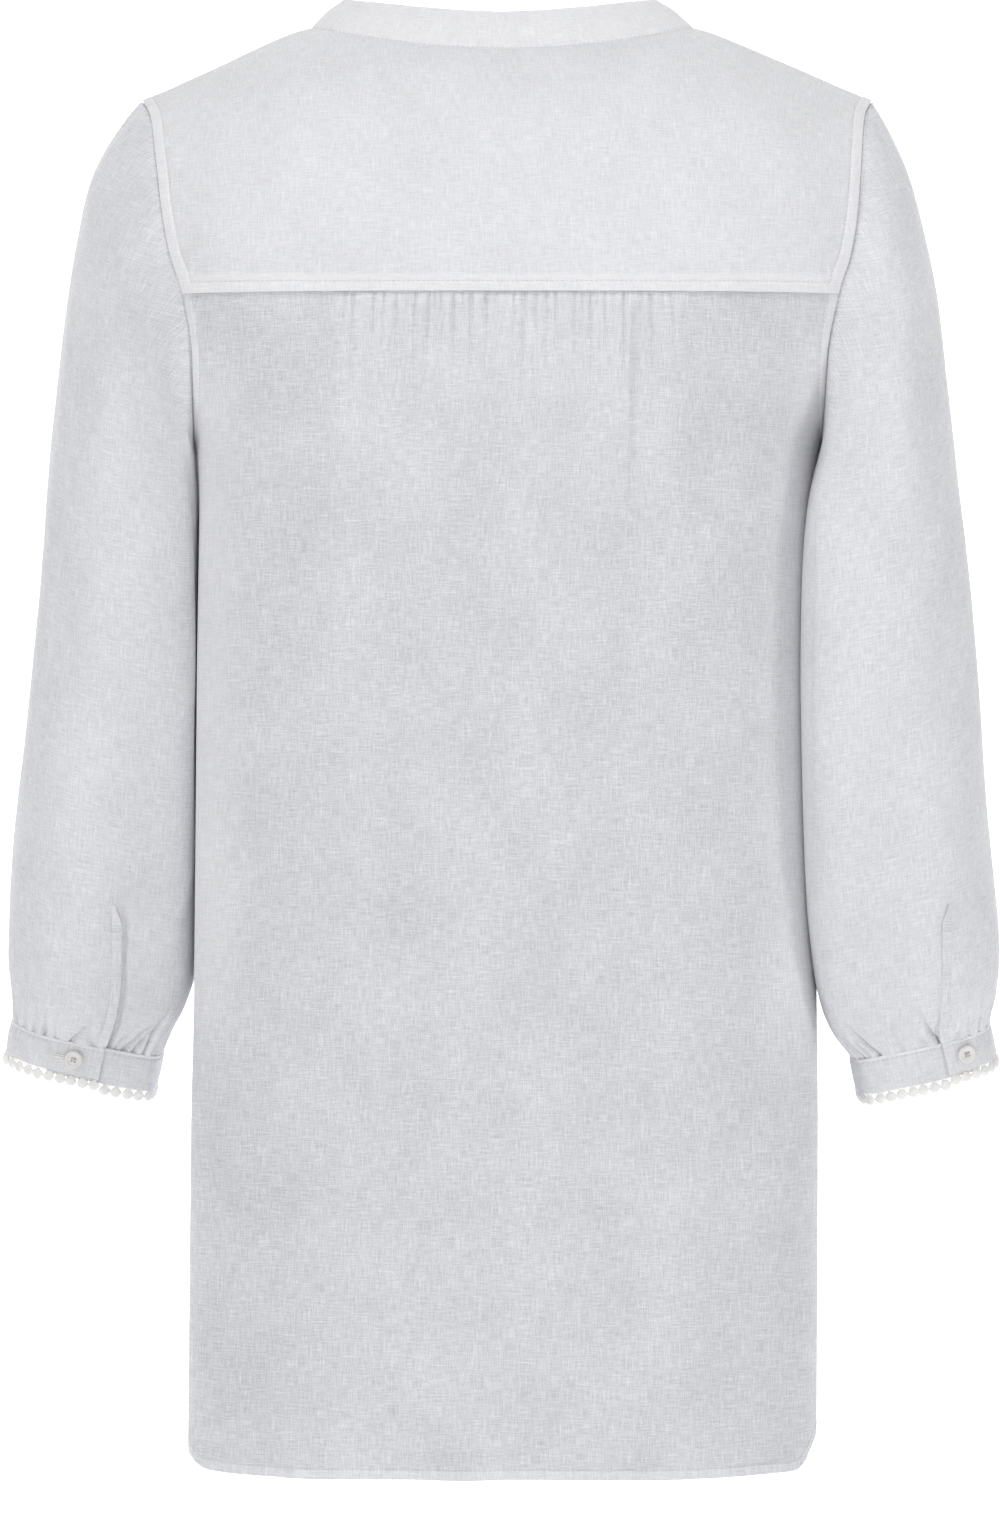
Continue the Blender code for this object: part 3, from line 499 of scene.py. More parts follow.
def uneven(a, b, around, seed):
    """Soft unevenness from -1 to 1 at a, b: seeded heights a unit apart, joined by soft steps."""
    heights = np.random.default_rng(seed).uniform(-1, 1, (around, 96))
    i, j = np.floor(a).astype(int), np.floor(b).astype(int)
    s, t = smooth(a - i), smooth(b - j)

    def corner(m, n):
        return heights[np.mod(i + m, around), np.mod(j + n, 96)]

    near = corner(0, 0) * (1 - s) + corner(1, 0) * s
    return near * (1 - t) + (corner(0, 1) * (1 - s) + corner(1, 1) * s) * t


def rumpled(u, v, seed):
    """Worn linen's mottled surface, in metres: broad unevenness and finer on top of it."""
    broad = uneven(u / 0.034, v / 0.052, 96, seed)
    fine = uneven(u / 0.013, v / 0.017, 96, seed + 1)
    return 0.00042 * broad + 0.00011 * fine


def strip(distance, width):
    """How far a pressed seam allowance lifts the cloth, and its stitches pull it in again."""
    lift = STRIP_RISE * smooth((width - distance) / 0.0008 + 0.5)
    return lift - GROOVE * np.exp(-(((distance - width) / GROOVE_HALF_WIDTH) ** 2))


def shoulder_height(x):
    """Height of the shoulder's ridge: level to the neck's side, then a steady slope."""
    past = np.abs(x) - SHOULDER_START
    fall = (past + np.sqrt(past**2 + SHOULDER_SOFTNESS**2)) / 2
    start = NECK_HALF_WIDTH - SHOULDER_START
    level = (start + math.hypot(start, SHOULDER_SOFTNESS)) / 2
    return -SHOULDER_SLOPE * (fall - level)


def arch_at(x, z):
    """Length along the cloth, from the shoulder's ridge down to height z."""
    drop = np.maximum(shoulder_height(x) - z, 0)
    turn = np.arccos(1 - np.minimum(drop / SHOULDER_ROUND, 1))
    return SHOULDER_ROUND * turn + np.maximum(drop - SHOULDER_ROUND, 0)


def torso(x, arch):
    """The torso before its lean: an oblong in plan, times the sine of its turn at the shoulder."""
    turn = np.minimum(np.abs(arch) / SHOULDER_ROUND, math.pi / 2)
    below = np.maximum(np.abs(arch) - SHOULDER_ROUND * math.pi / 2, 0)
    z = shoulder_height(x) - SHOULDER_ROUND * (1 - np.cos(turn)) - below
    side = follow(TORSO, "z", "side", z)
    back, front = follow(TORSO, "z", "back", z), follow(TORSO, "z", "front", z)
    across = (1 - np.minimum(np.abs(x) / side, 1) ** OBLONG) ** (1 / OBLONG)
    y = np.where(arch >= 0, back, -front) * across * np.sin(turn)
    return np.stack(np.broadcast_arrays(x, y, z), axis=-1)


def torso_out(x, arch):
    """Unit normals of the torso, from points 0.5 mm either side."""
    step = 0.0005
    out = np.cross(
        torso(x + step, arch) - torso(x - step, arch),
        torso(x, arch + step) - torso(x, arch - step),
    )
    return out / np.maximum(np.linalg.norm(out, axis=-1, keepdims=True), 1e-12)


def lean(points):
    """The torso's slight sideways lean, which depends on the height."""
    moved = points.copy()
    moved[..., 0] += follow(TORSO, "z", "lean", points[..., 2])
    return moved


def armhole_x(arch):
    """Where the armhole's seam is at a distance along the cloth from the shoulder's ridge."""
    x = np.full(np.shape(arch), ARMHOLE["x"][0])
    for _ in range(40):
        x = (x + follow(ARMHOLE, "z", "x", torso(x, arch)[..., 2])) / 2
    return x


def armhole_line(setback):
    """The armhole's seam, from the underarm up the front and down the back to it again.

    It is moved along the cloth by the setback, away from the sleeve where that is positive.
    """
    lowest = arch_at(ARMHOLE["x"][-1], UNDERARM)
    arch = np.linspace(-lowest, lowest, ARMHOLE_SAMPLES)
    x = armhole_x(arch)
    line = torso(x, arch)
    out = torso_out(x, arch)
    away = np.cross(out, np.gradient(line, axis=0))
    away /= np.linalg.norm(away, axis=1, keepdims=True)
    return line + away * setback, out


def side_x(z, facing):
    """The edge of a panel: its side seam, or its armhole; facing is 1 at the back, -1 in front."""
    line, _ = armhole_line(ARMHOLE_SETBACK)
    half = line[line[:, 1] * facing >= 0]
    half = half[np.argsort(half[:, 2])]
    armhole = np.interp(z, half[:, 2], half[:, 0])
    return np.where(z <= UNDERARM, follow(TORSO, "z", "side", z), armhole)


def hem_height(across):
    """The hem at a share of the half width: a little wavy, and rounded up at the sides."""
    corner = np.where(across > 0, HEM_CORNER_LIFT[0], HEM_CORNER_LIFT[1])
    lift = HEM_LIFT * np.abs(across) ** HEM_CORNER
    lift = lift + corner * smooth((np.abs(across) - 0.91) / 0.12) ** 1.5
    wave = 0.0007 * (1 + uneven(across * 6.3 + 0.2, 0 * across, 96, 97))
    return HEM + lift + wave * smooth((1 - np.abs(across)) / 0.08)


def edge_distance(points):
    """Distance of each point of a grid from the nearer end of its row, along the cloth."""
    step = np.linalg.norm(np.diff(points, axis=1), axis=-1)
    run = np.concatenate([np.zeros((len(points), 1)), np.cumsum(step, axis=1)], axis=1)
    return np.minimum(run, run[:, -1:] - run)


def body_relief(rows, points, u, v, across, outward, seed):
    """How far in the body's cloth is pressed: creases, rumples, and folds that grow to the hem."""
    grow = smooth((FOLD_START - points[..., 2]) / FOLD_GROWTH)
    press = creased(rows, u, v) + rumpled(u, v, seed)
    for x, wide, deep in zip(*BODY_FOLDS.values()):
        fold = np.exp(-(((u * 1000 * outward - x) / wide) ** 2))
        press = press + deep / 1000 * fold * grow
    return press * smooth((1 - np.abs(across)) / EDGE_FADE)


def side_columns(inner, count):
    """Columns from a share of the half width out to the side, closest at the side seam."""
    t = np.linspace(0, 1, count + 1)[1:]
    return 1 - (1 - inner) * (1 - t) ** OBLONG


def rows_to_hem(length, count, first):
    """Shares of a panel's length: the first rows are that far apart and the last ones further.

    Rows are added for the hem's turned edge.
    """
    t = np.linspace(0, 1, count)
    close = min(first * count / length, 1)
    share = close * t + (1 - close) * t * t
    hem = 1 - np.array([9, 7.5, 6.6, 6.1, 5.7, 5.3, 4.9, 4.3, 3, 1.5, 0.6]) / 1000 / length
    return np.unique(np.concatenate([share[share < hem[0] - 0.002], hem, [1]]))


def roped(x, above):
    """A turned hem's ripples, in metres: fine slanting ones on it and broad ones above it."""
    slant = x + 0.8 * above + 0.0016 * uneven(x / 0.03, above * 0, 96, 91)
    fine = 0.00028 * np.sin(slant / 0.0049 * 2 * math.pi) * smooth(1.3 - above / HEM_DEPTH)
    broad = 0.0011 * uneven(x / 0.021, above * 0, 96, 93) * smooth(1 - above / 0.045)
    return fine + broad


def hem_lift(x, across, above):
    """How far the turned hem lifts a body panel: its strip and its ripples, less at the sides."""
    return (strip(above, HEM_DEPTH) + roped(x, above)) * smooth((1 - np.abs(across)) / 0.02)


def seam_layers(edge, armhole, above):
    """How pale a body panel looks over the allowances of its armholes and over its hem."""
    layers = ARMHOLE_PALE * smooth((STRIP - edge) / 0.0006 + 0.5) * armhole
    return np.maximum(layers, HEM_PALE * smooth((HEM_DEPTH - above) / 0.0006 + 0.5))


def back_grid():
    """The back panel: points, their place on the flat cloth and how pale the cloth looks there.

    Rows go from a tuck under the yoke to the hem and columns from armhole to armhole. A point
    is the torso at its x and arch, moved along its normal by the seams' lift less the creases.
    It also gives each point's distance from the armhole's edge and its height above the hem.
    """
    middle = 0.105 / float(side_x(YOKE_SEAM, 1))
    outer = side_columns(middle, 44)
    across = np.concatenate([-outer[::-1], np.linspace(-middle, middle, 221), outer])
    share = rows_to_hem(YOKE_SEAM - HEM, 134, 0.0016)
    tuck = -np.array([4.0, 2.5, 1.2, 0.5]) / 1000 / (YOKE_SEAM - HEM)
    share = np.concatenate([tuck, share])[:, None]
    z = YOKE_SEAM * (1 - share) + hem_height(across) * share
    x = across * side_x(z[:, :1] * 0 + YOKE_SEAM * (1 - share) + HEM * share, 1)
    arch = arch_at(x, z)
    points = torso(x, arch)
    down = arch - arch_at(x, YOKE_SEAM)
    down = np.where(share < 0, share * (YOKE_SEAM - HEM), down)
    press = creased(BACK_GATHERS, x, down)
    # painted highlight on the gathers' ridges, fading where the creases press in, so their troughs stay
    # darker
    ridge_highlight = smooth(1 - press / 0.0011) * smooth((0.108 - np.abs(x)) / 0.012)
    ridge_highlight = ridge_highlight * smooth(down / 0.004) * np.exp(-down / 0.075)
    press = press * (0.35 + 0.65 * smooth(down / 0.003))
    press = press + body_relief(BACK_CREASES, points, x, down, across, 1, 7)
    puff = 0.0009 * smooth(down / 0.004) * np.exp(-((down / 0.03) ** 2))
    puff = puff * smooth((0.112 - np.abs(x)) / 0.02)
    under = 0.0010 * smooth(1 - down / 0.005)
    edge = edge_distance(points)
    armhole = smooth((z - UNDERARM) / 0.006)
    seam = strip(edge, STRIP) * armhole
    above_hem = (1 - share) * (YOKE_SEAM - HEM)
    hem = hem_lift(x, across, above_hem)
    lift = puff - under + seam + hem - press
    points = points + torso_out(x, arch) * lift[..., None]
    layers = seam_layers(edge, armhole, above_hem)
    # painted highlight on the ridges of the gathers, leaving painted shade in their troughs
    layers = np.maximum(layers, PLEAT_RIDGE_PAINTED_LIGHT * ridge_highlight)
    # painted light near the sides, beside the sleeves, lifting the shade that falls between sleeves and
    # back
    beside = smooth((np.abs(across) - 0.76) / 0.24) * smooth((z + 0.68) / 0.16)
    layers = layers + BODY_SIDE_PAINTED_LIGHT * beside * smooth((YOKE_SEAM - z) / 0.08)
    return lean(points) + [0, SEAM / 2, 0], x, down, layers, edge, above_hem


def front_grid():
    """The front panel, as the back is, from the yoke's front edge and the V of the neck down."""
    corner = YOKE_FORWARD
    line, _ = armhole_line(ARMHOLE_SETBACK)
    arch = arch_at(line[:, 0], line[:, 2]) * np.sign(line[:, 1])
    top_x = float(np.interp(-corner, arch, line[:, 0]))
    neck = NECK_HALF_WIDTH * (1 - (corner / V_DEPTH) ** V_CURVE)
    inner = np.linspace(0, neck, 61)[1:] / top_x
    outer = side_columns(neck / top_x, 44)
    across = np.concatenate([-outer[::-1], -inner[::-1], [0], inner, outer])
    open_by = np.maximum(1 - np.abs(across) * top_x / NECK_HALF_WIDTH, 0) ** (1 / V_CURVE)
    edge_z = torso(across * top_x, -np.maximum(V_DEPTH * open_by, corner))[:, 2]
    share = rows_to_hem(edge_z[0] - HEM, 120, 0.004)[:, None]
    z = edge_z * (1 - share) + hem_height(across) * share
    width = side_x(edge_z[0] * (1 - share) + HEM * share, -1)
    width[0] = top_x
    x = across * width
    arch = arch_at(x, z)
    points = torso(x, -arch)
    press = body_relief(FRONT_CREASES, points, x, arch - corner, across, -1, 23)
    press = press * smooth(share / 0.05)
    edge = edge_distance(points)
    armhole = smooth((z - UNDERARM) / 0.006)
    above_hem = (1 - share) * (edge_z[0] - HEM)
    hem = hem_lift(x, across, above_hem)
    under = 0.0009 * smooth(1 - share / 0.01)
    lift = strip(edge, STRIP) * armhole + hem - press - under
    points = points + torso_out(x, -arch) * lift[..., None]
    layers = seam_layers(edge, armhole, above_hem)
    return lean(points) - [0, SEAM / 2, 0], x, arch_at(0, z), layers, edge, above_hem


def neckline(count):
    """One half of the neck seam as x and arch, from the back of the neck to the point."""
    angle = np.linspace(0, math.pi / 2, count)
    x = NECK_HALF_WIDTH * np.sin(angle)
    back_half = np.stack([x, arch_at(x, -NECK_DROP * np.cos(angle) ** 2)], axis=1)
    back_half[-1, 1] = 0
    share = np.linspace(0, 1, count)[1:]
    x = NECK_HALF_WIDTH * (1 - share**V_CURVE)
    front_half = np.stack([x, -V_DEPTH * share], axis=1)
    return np.concatenate([back_half, front_half])


def yoke_grid():
    """The yoke: rows run parallel to its outer edge, then spread out to the neck seam.

    Columns go from one front corner up the armhole, along the seam and back to the other front
    corner. The outer edge stands a little proud, over the panels that are tucked under it.
    """
    line = neckline(400)
    line = line[line[:, 1] >= -YOKE_FORWARD]
    seam, _ = armhole_line(ARMHOLE_SETBACK)
    side = np.stack([seam[:, 0], arch_at(seam[:, 0], seam[:, 2]) * np.sign(seam[:, 1])], axis=1)
    corner = float(side_x(YOKE_SEAM, 1))
    lowest = arch_at(corner, YOKE_SEAM)
    within = (side[:, 1] > -YOKE_FORWARD + 0.0005) & (side[:, 1] < lowest - 0.0005)
    first = [[np.interp(-YOKE_FORWARD, side[:, 1], side[:, 0]), -YOKE_FORWARD]]
    armhole = even(np.concatenate([first, side[within], [[corner, lowest]]]), 70)
    x = corner * np.linspace(1, 0, 101)[1:]
    outer = np.concatenate([armhole, np.stack([x, arch_at(x, YOKE_SEAM)], axis=1)])
    inner = even(line[::-1], len(outer))
    reach = inner - outer
    length = np.linalg.norm(reach, axis=1)
    way = reach / length[:, None]
    tangent = np.diff(outer, axis=0)
    tangent /= np.linalg.norm(tangent, axis=1, keepdims=True)
    turned = np.abs(tangent[:, 0] * way[1:, 1] - tangent[:, 1] * way[1:, 0])
    slant = np.minimum(np.append(turned, turned[-1]), np.insert(turned, 0, turned[0]))
    slant = np.maximum(slant, 0.3)
    near = np.array(YOKE_ROWS)[:, None] / 1000 / (length * slant)
    far = near[-1] + (1 - near[-1]) * np.linspace(0, 1, 40)[1:, None]
    share = np.concatenate([near, far])
    half = outer + reach * share[..., None]
    edge = share * length * slant
    flat = np.concatenate([half, half[:, -2::-1] * [-1, 1]], axis=1)
    edge = np.concatenate([edge, edge[:, -2::-1]], axis=1)
    at_seam = np.concatenate([np.zeros(69), np.ones(101)])
    at_seam = np.concatenate([at_seam, at_seam[-2::-1]])
    u, v = flat[..., 0], flat[..., 1]
    press = creased(YOKE_CREASES, u, v) + 0.6 * rumpled(u, v, 41)
    mirrored = np.concatenate([share, share[:, -2::-1]], axis=1)
    press = press * smooth(edge / 0.015) * smooth((1 - mirrored) / 0.15)
    lift = 0.0004 * smooth(1 - edge / 0.02) + strip(edge, STRIP) - press
    points = torso(u, v) + torso_out(u, v) * lift[..., None]
    width = STRIP + (YOKE_STRIP - STRIP) * at_seam
    layers = YOKE_PALE + 0.3 * smooth((width - edge) / 0.0008 + 0.5)
    return lean(points), u, v - arch_at(u, YOKE_SEAM), layers


def band_grid():
    """The neckband: a stand band that lies flatter down to the point of the V.

    Each row is the neck seam moved up the band's slope, which is the torso's tangent turned
    out of it by the tilt.
    """
    line = neckline(600)
    along = np.linspace(0, 2, len(line))
    points = torso(line[:, 0], line[:, 1])
    out = torso_out(line[:, 0], line[:, 1])
    forward = np.gradient(points, axis=0)
    forward /= np.linalg.norm(forward, axis=1, keepdims=True)
    inward = np.cross(forward, out)
    inward /= np.linalg.norm(inward, axis=1, keepdims=True)
    tilt = np.radians(follow(BAND, "along", "tilt", along))[:, None]
    rise = inward * np.cos(tilt) + out * np.sin(tilt)
    face = out * np.cos(tilt) - inward * np.sin(tilt)
    heights = np.array(BAND_ROWS) / 1000
    rows = []
    for height in heights:
        lift = -GROOVE * np.exp(-(((height - BAND_STITCHES) / GROOVE_HALF_WIDTH) ** 2))
        lift = lift + 0.0012 * math.sin(math.pi * height / BAND_WIDTH)
        lift = lift - 0.0003 * float(smooth(1 - height / 0.0020))
        lift = lift + 0.0003 * uneven(along * 22, np.full(len(along), height / 0.008), 96, 5)
        start = -0.0008 * (1 - height / BAND_WIDTH)
        place = points + rise * (start + height) + face * np.reshape(lift, (-1, 1))
        place = place[(place[:, 0] >= 0) | (along < 1)]
        place[0, 0] = place[-1, 0] = 0
        half = even(place, 141)
        rows.append(np.concatenate([half, half[-2::-1] * [-1, 1, 1]]))
    points = lean(np.stack(rows))
    shape = points.shape[:2]
    return points, np.broadcast_to(run_of(points[0]), shape), np.broadcast_to(heights[:, None], shape)


def armhole_loop(side, turn, setback, under):
    """The armhole's seam by share of its length, moved into the body and in under its edge."""
    loop, out = armhole_line(setback)
    loop = loop - out * under
    loop[:, 0] += side * follow(TORSO, "z", "lean", loop[:, 2])
    run = run_of(loop)
    want = np.mod(turn / (2 * math.pi), 1) * run[-1]
    want = np.where(turn >= 2 * math.pi - 1e-9, run[-1], want)
    return values_at(run, loop, want)


def rounded(turn):
    """Cosine and sine of a turn, squared off by a power: 2 over the roundness there."""
    c, s = np.cos(turn), np.sin(turn)
    corner = np.exp(-(((turn - CORNER_TURN) / 0.55) ** 2))
    power = 2 / (SLEEVE_ROUND + CORNER_ROUND * corner)
    return np.sign(c) * np.abs(c) ** power, np.sign(s) * np.abs(s) ** power


def clear_of_body(side, ring, clearance):
    """Sleeve points moved out to where the body's side, or its armhole, leaves them room.

    A point that lies short of the room by some amount moves by the mean of that amount and the
    root of its square plus the softness squared, so that the sleeve turns away in a soft curve.
    """
    y, z = ring[..., 1], ring[..., 2]
    depth = np.where(y > 0, follow(TORSO, "z", "back", z), follow(TORSO, "z", "front", z))
    share = np.minimum(np.abs(y) / depth, 0.97)
    reach = (1 - share**OBLONG) ** (1 / OBLONG)
    width = follow(TORSO, "z", "side", z)
    slope = width / depth * (share / reach) ** (OBLONG - 1)
    clearance = clearance * np.sqrt(1 + slope**2)
    edge = width * reach
    edge = np.where(z > UNDERARM, np.minimum(edge, follow(ARMHOLE, "z", "x", z)), edge)
    room = edge + side * follow(TORSO, "z", "lean", z) + clearance
    over = room - ring[..., 0]
    soft = CLEAR_SOFTNESS * smooth(clearance / 0.001)
    moved = ring.copy()
    moved[..., 0] += np.where(clearance > 0, (over + np.sqrt(over**2 + soft**2)) / 2, 0)
    return moved


def sleeve_ring(side, down, turn):
    """A sleeve without creases, as if it were the left one.

    A ring's points are its middle and two half axes times a rounded cosine and sine of the
    turn; the armhole's own outline turns into such a ring over the sleeve's first part.
    """
    hand = "left" if side > 0 else "right"
    names = ("out_z", "in_z", "out_" + hand, "in_" + hand, "mid_" + hand, "depth", "tilt")
    out_z, in_z, out_x, in_x, mid_y, depth, tilt = (follow(SLEEVE, "down", n, down) for n in names)
    c, s = rounded(turn)
    near = -s * depth
    x = (out_x + in_x) / 2 - c * (out_x - in_x) / 2
    z = (out_z + in_z) / 2 - c * (out_z - in_z) / 2 - near * np.sin(np.radians(tilt))
    y = mid_y + near * np.cos(np.radians(tilt))
    ring = np.stack(np.broadcast_arrays(x, y, z), axis=-1)
    middle = np.stack(
        np.broadcast_arrays((out_x + in_x) / 2 + 0 * x, mid_y + 0 * x, (out_z + in_z) / 2 + 0 * x),
        axis=-1,
    )
    share = smooth(down / CAP_BLEND)[..., None]
    loop = armhole_loop(side, turn, -ARMHOLE_SETBACK, 0)
    ring = loop * (1 - share) + ring * share
    return clear_of_body(side, ring, SLEEVE_CLEAR * smooth(down / 0.006)), middle


def cuff_gathers(hand, turn, above):
    """How far in the gathers at a cuff press its sleeve, in metres: troughs that fade upwards."""
    press = 0
    for rows in (CUFF_GATHERS[hand], HIDDEN_CUFF_GATHERS):
        for place, long, wide, deep, way in zip(*rows.values()):
            share = above / (long / 1000)
            off = np.mod(turn - place - way * share + math.pi, 2 * math.pi) - math.pi
            off = off / wide
            width = (0.68 + 0.24 * np.tanh(off)) * (1 + 0.6 * np.clip(share, 0, 1))
            fade = np.clip(1 - share, 0, 1) ** 1.3
            press = press + deep / 1000 * np.exp(-((off / width) ** 2)) * fade
    return press * (0.7 + 0.8 * smooth(above / 0.004))


def slit_line(hand, above):
    """Turn of a sleeve's slit at a height above its cuff."""
    share = np.clip(above / SLIT_LENGTH, 0, 1)
    return FLAP_EDGE[hand] * (1 - share) + SLIT_TOP[hand] * share


def flap_rise(hand, turn, above):
    """How far a sleeve's end rises with the cuff's flap, which lies over its other end."""
    travel = np.mod(slit_line(hand, above) - turn + 0.004, 2 * math.pi)
    rise = smooth(1 - (travel - LAP) / LAP_BLEND) * smooth(1 - above / 0.045)
    return (CUFF_WALL + SEAM) * rise


def sleeve_grid(side, hand):
    """A sleeve with its creases, from a tuck inside the armhole to a tuck inside the cuff.

    Each point is the ring's, moved along its normal by the flap's rise less the creases, the
    gathers and the slit's gape. The flat cloth is the distance round it and the depth down it.
    """
    near = np.array([0, 1, 2, 3.2, 4.6, 6.2, 8, 10]) / 1000
    last = [44, 41, 38, 35, 32, 29, 26, 23, 20, 17, 14.5, 12, 10, 8, 6.5, 5, 4, 3, 2, 1, 0]
    last = SLEEVE_LENGTH - np.array(last) / 1000
    down = np.concatenate([near, np.linspace(0.0125, SLEEVE_LENGTH - 0.047, SLEEVE_ROWS), last])
    angle = np.linspace(0, 2 * math.pi, 2001)
    crowd = np.cumsum(1 + 1.4 * np.exp(-(((angle - FINE_TURN) / 0.6) ** 2)))
    turn = np.interp(np.linspace(crowd[0], crowd[-1], SLEEVE_COLUMNS), crowd, angle)
    down, turn = np.meshgrid(down, turn, indexing="ij")
    ring, middle = sleeve_ring(side, down, turn)
    ahead, _ = sleeve_ring(side, down + 0.008, turn)
    behind, _ = sleeve_ring(side, down - 0.004, turn)
    wide = np.concatenate([ring[:, -2:-1], ring, ring[:, 1:2]], axis=1)
    out = np.cross(wide[:, 2:] - wide[:, :-2], ahead - behind)
    out /= np.linalg.norm(out, axis=-1, keepdims=True)
    out = out * np.sign(np.sum(out * (ring - middle), axis=-1, keepdims=True))
    around = (np.mod(turn - 1.5 * math.pi + math.pi, 2 * math.pi) - math.pi) / (2 * math.pi)
    u = around * SLEEVE_AROUND
    above = SLEEVE_LENGTH - down
    press = creased(SLEEVE_CREASES[hand], u, down) + creased(HIDDEN_SLEEVE_CREASES, u, down)
    cells = turn / (2 * math.pi)
    press = press + 0.0005 * uneven(cells * 11, down / 0.055, 11, 61 + side)
    press = press + 0.00012 * uneven(cells * 30, down / 0.018, 30, 63 + side)
    beside = np.minimum(turn, 2 * math.pi - turn)
    press = press * smooth(down / 0.01) * smooth(beside / 0.9)
    press = press + cuff_gathers(hand, turn, above)
    slit_off = (turn - slit_line(hand, above)) * SLIT_RADIUS
    open_slit = smooth((SLIT_LENGTH - above) / 0.01)
    gape = SLIT_GAPE[hand] * open_slit + 0.0018 * smooth(1 - above / 0.02)
    press = press + gape * np.exp(-(((slit_off - 0.0009) / 0.0011) ** 2))
    press = press + 0.0004 * smooth(1 - down / 0.004) - flap_rise(hand, turn, above)
    ring = ring - out * press[..., None]
    inside = [armhole_loop(side, turn[0], step / 1000, 0.0013) for step in (3.0, 1.2)]
    cuff_down = cuff_frame(side)[1]
    hem = [ring[-1] + cuff_down * step / 1000 - out[-1] * 0.0004 for step in (1.5, 4.0)]
    points = np.concatenate([np.stack(inside), ring, np.stack(hem)])
    v = points @ cuff_down
    flat = points - v[..., None] * cuff_down
    step = np.linalg.norm(np.diff(flat, axis=1, prepend=flat[:, :1]), axis=-1)
    u = np.cumsum(step, axis=1)
    u = u - u[:, [np.argmin(np.abs(turn[0] - 1.5 * math.pi))]]
    return points * [side, 1, 1], u, v


def cuff_frame(side):
    """Directions of a cuff as if it were the left one: outwards across it, and down it."""
    hand = "left" if side > 0 else "right"
    last = {name: column[-1] for name, column in SLEEVE.items()}
    across = last["out_" + hand] - last["in_" + hand]
    outward = np.array([across, 0, last["out_z"] - last["in_z"]])
    outward /= np.linalg.norm(outward)
    tilt = math.radians(last["tilt"])
    nearer = np.array([0, math.cos(tilt), -math.sin(tilt)])
    return outward, -np.cross(outward, nearer)


def cuff_path(side, hand, travel):
    """The cuff's top edge: travel is the turn from the flap's edge, over the outside first."""
    down = cuff_frame(side)[1]
    turn = FLAP_EDGE[hand] - travel
    end = np.full(np.shape(turn), SLEEVE_LENGTH)
    ring, _ = sleeve_ring(side, end, np.mod(turn, 2 * math.pi))
    ahead, _ = sleeve_ring(side, end, np.mod(turn + 0.01, 2 * math.pi))
    behind, _ = sleeve_ring(side, end, np.mod(turn - 0.01, 2 * math.pi))
    out = np.cross(down, ahead - behind)
    out /= np.linalg.norm(out, axis=-1, keepdims=True)
    lift = (CUFF_WALL + SEAM) * smooth(1 - (travel - LAP) / LAP_BLEND)
    return ring + out * lift[..., None], out


def cuff_depth(travel):
    """The cuff's depth, which is a little more at its underlap than at its flap."""
    return FLAP_DEPTH + (UNDERLAP_DEPTH - FLAP_DEPTH) * travel / (2 * math.pi + LAP)


def cuff_grid(side, hand):
    """A cuff: a strip of doubled linen that goes once round and on under its own flap."""
    travel = np.linspace(0, 2 * math.pi + LAP, 200)
    top, out = cuff_path(side, hand, travel)
    share = np.array([0, 3, 6, 9, 12, 15, 20, 30, 42, 55, 68, 80, 90, 96, 100]) / 100
    depth = share[:, None] * cuff_depth(travel)
    lift = -GROOVE * np.exp(-(((depth - CUFF_STITCHES) / GROOVE_HALF_WIDTH) ** 2))
    lift = lift + 0.0004 * np.sin(math.pi * share[:, None])
    lift = lift + 0.00035 * uneven(travel * 4 + 0 * depth, depth / 0.009, 96, 71 + side)
    loose = smooth((travel - 0.02) / 0.2) * smooth((2 * math.pi + LAP - travel) / 0.2)
    lift = lift * np.where((travel < LAP) | (travel > 2 * math.pi), 0.5, 1) * loose
    points = top + cuff_frame(side)[1] * depth[..., None] + out * lift[..., None]
    u = np.broadcast_to(run_of(top), depth.shape)
    return points * [side, 1, 1], u, depth


def linear(hex_colour):
    """An sRGB hex colour as linear red, green, blue and alpha."""
    parts = [int(hex_colour[i : i + 2], 16) / 255 for i in (1, 3, 5)]
    return (*[p / 12.92 if p <= 0.04045 else ((p + 0.055) / 1.055) ** 2.4 for p in parts], 1)


def add(tree, kind, inputs, **settings):
    """Adds a shader node with its settings, and sets or links each of its named inputs."""
    node = tree.nodes.new("ShaderNode" + kind)
    for name, value in settings.items():
        setattr(node, name, value)
    for name, value in inputs.items():
        if isinstance(value, bpy.types.NodeSocket):
            tree.links.new(value, node.inputs[name])
        else:
            node.inputs[name].default_value = value
    return node


def new_material(name):
    """An empty material and its node tree."""
    made = bpy.data.materials.new(name)
    made.use_nodes = True
    made.node_tree.nodes.clear()
    return made, made.node_tree


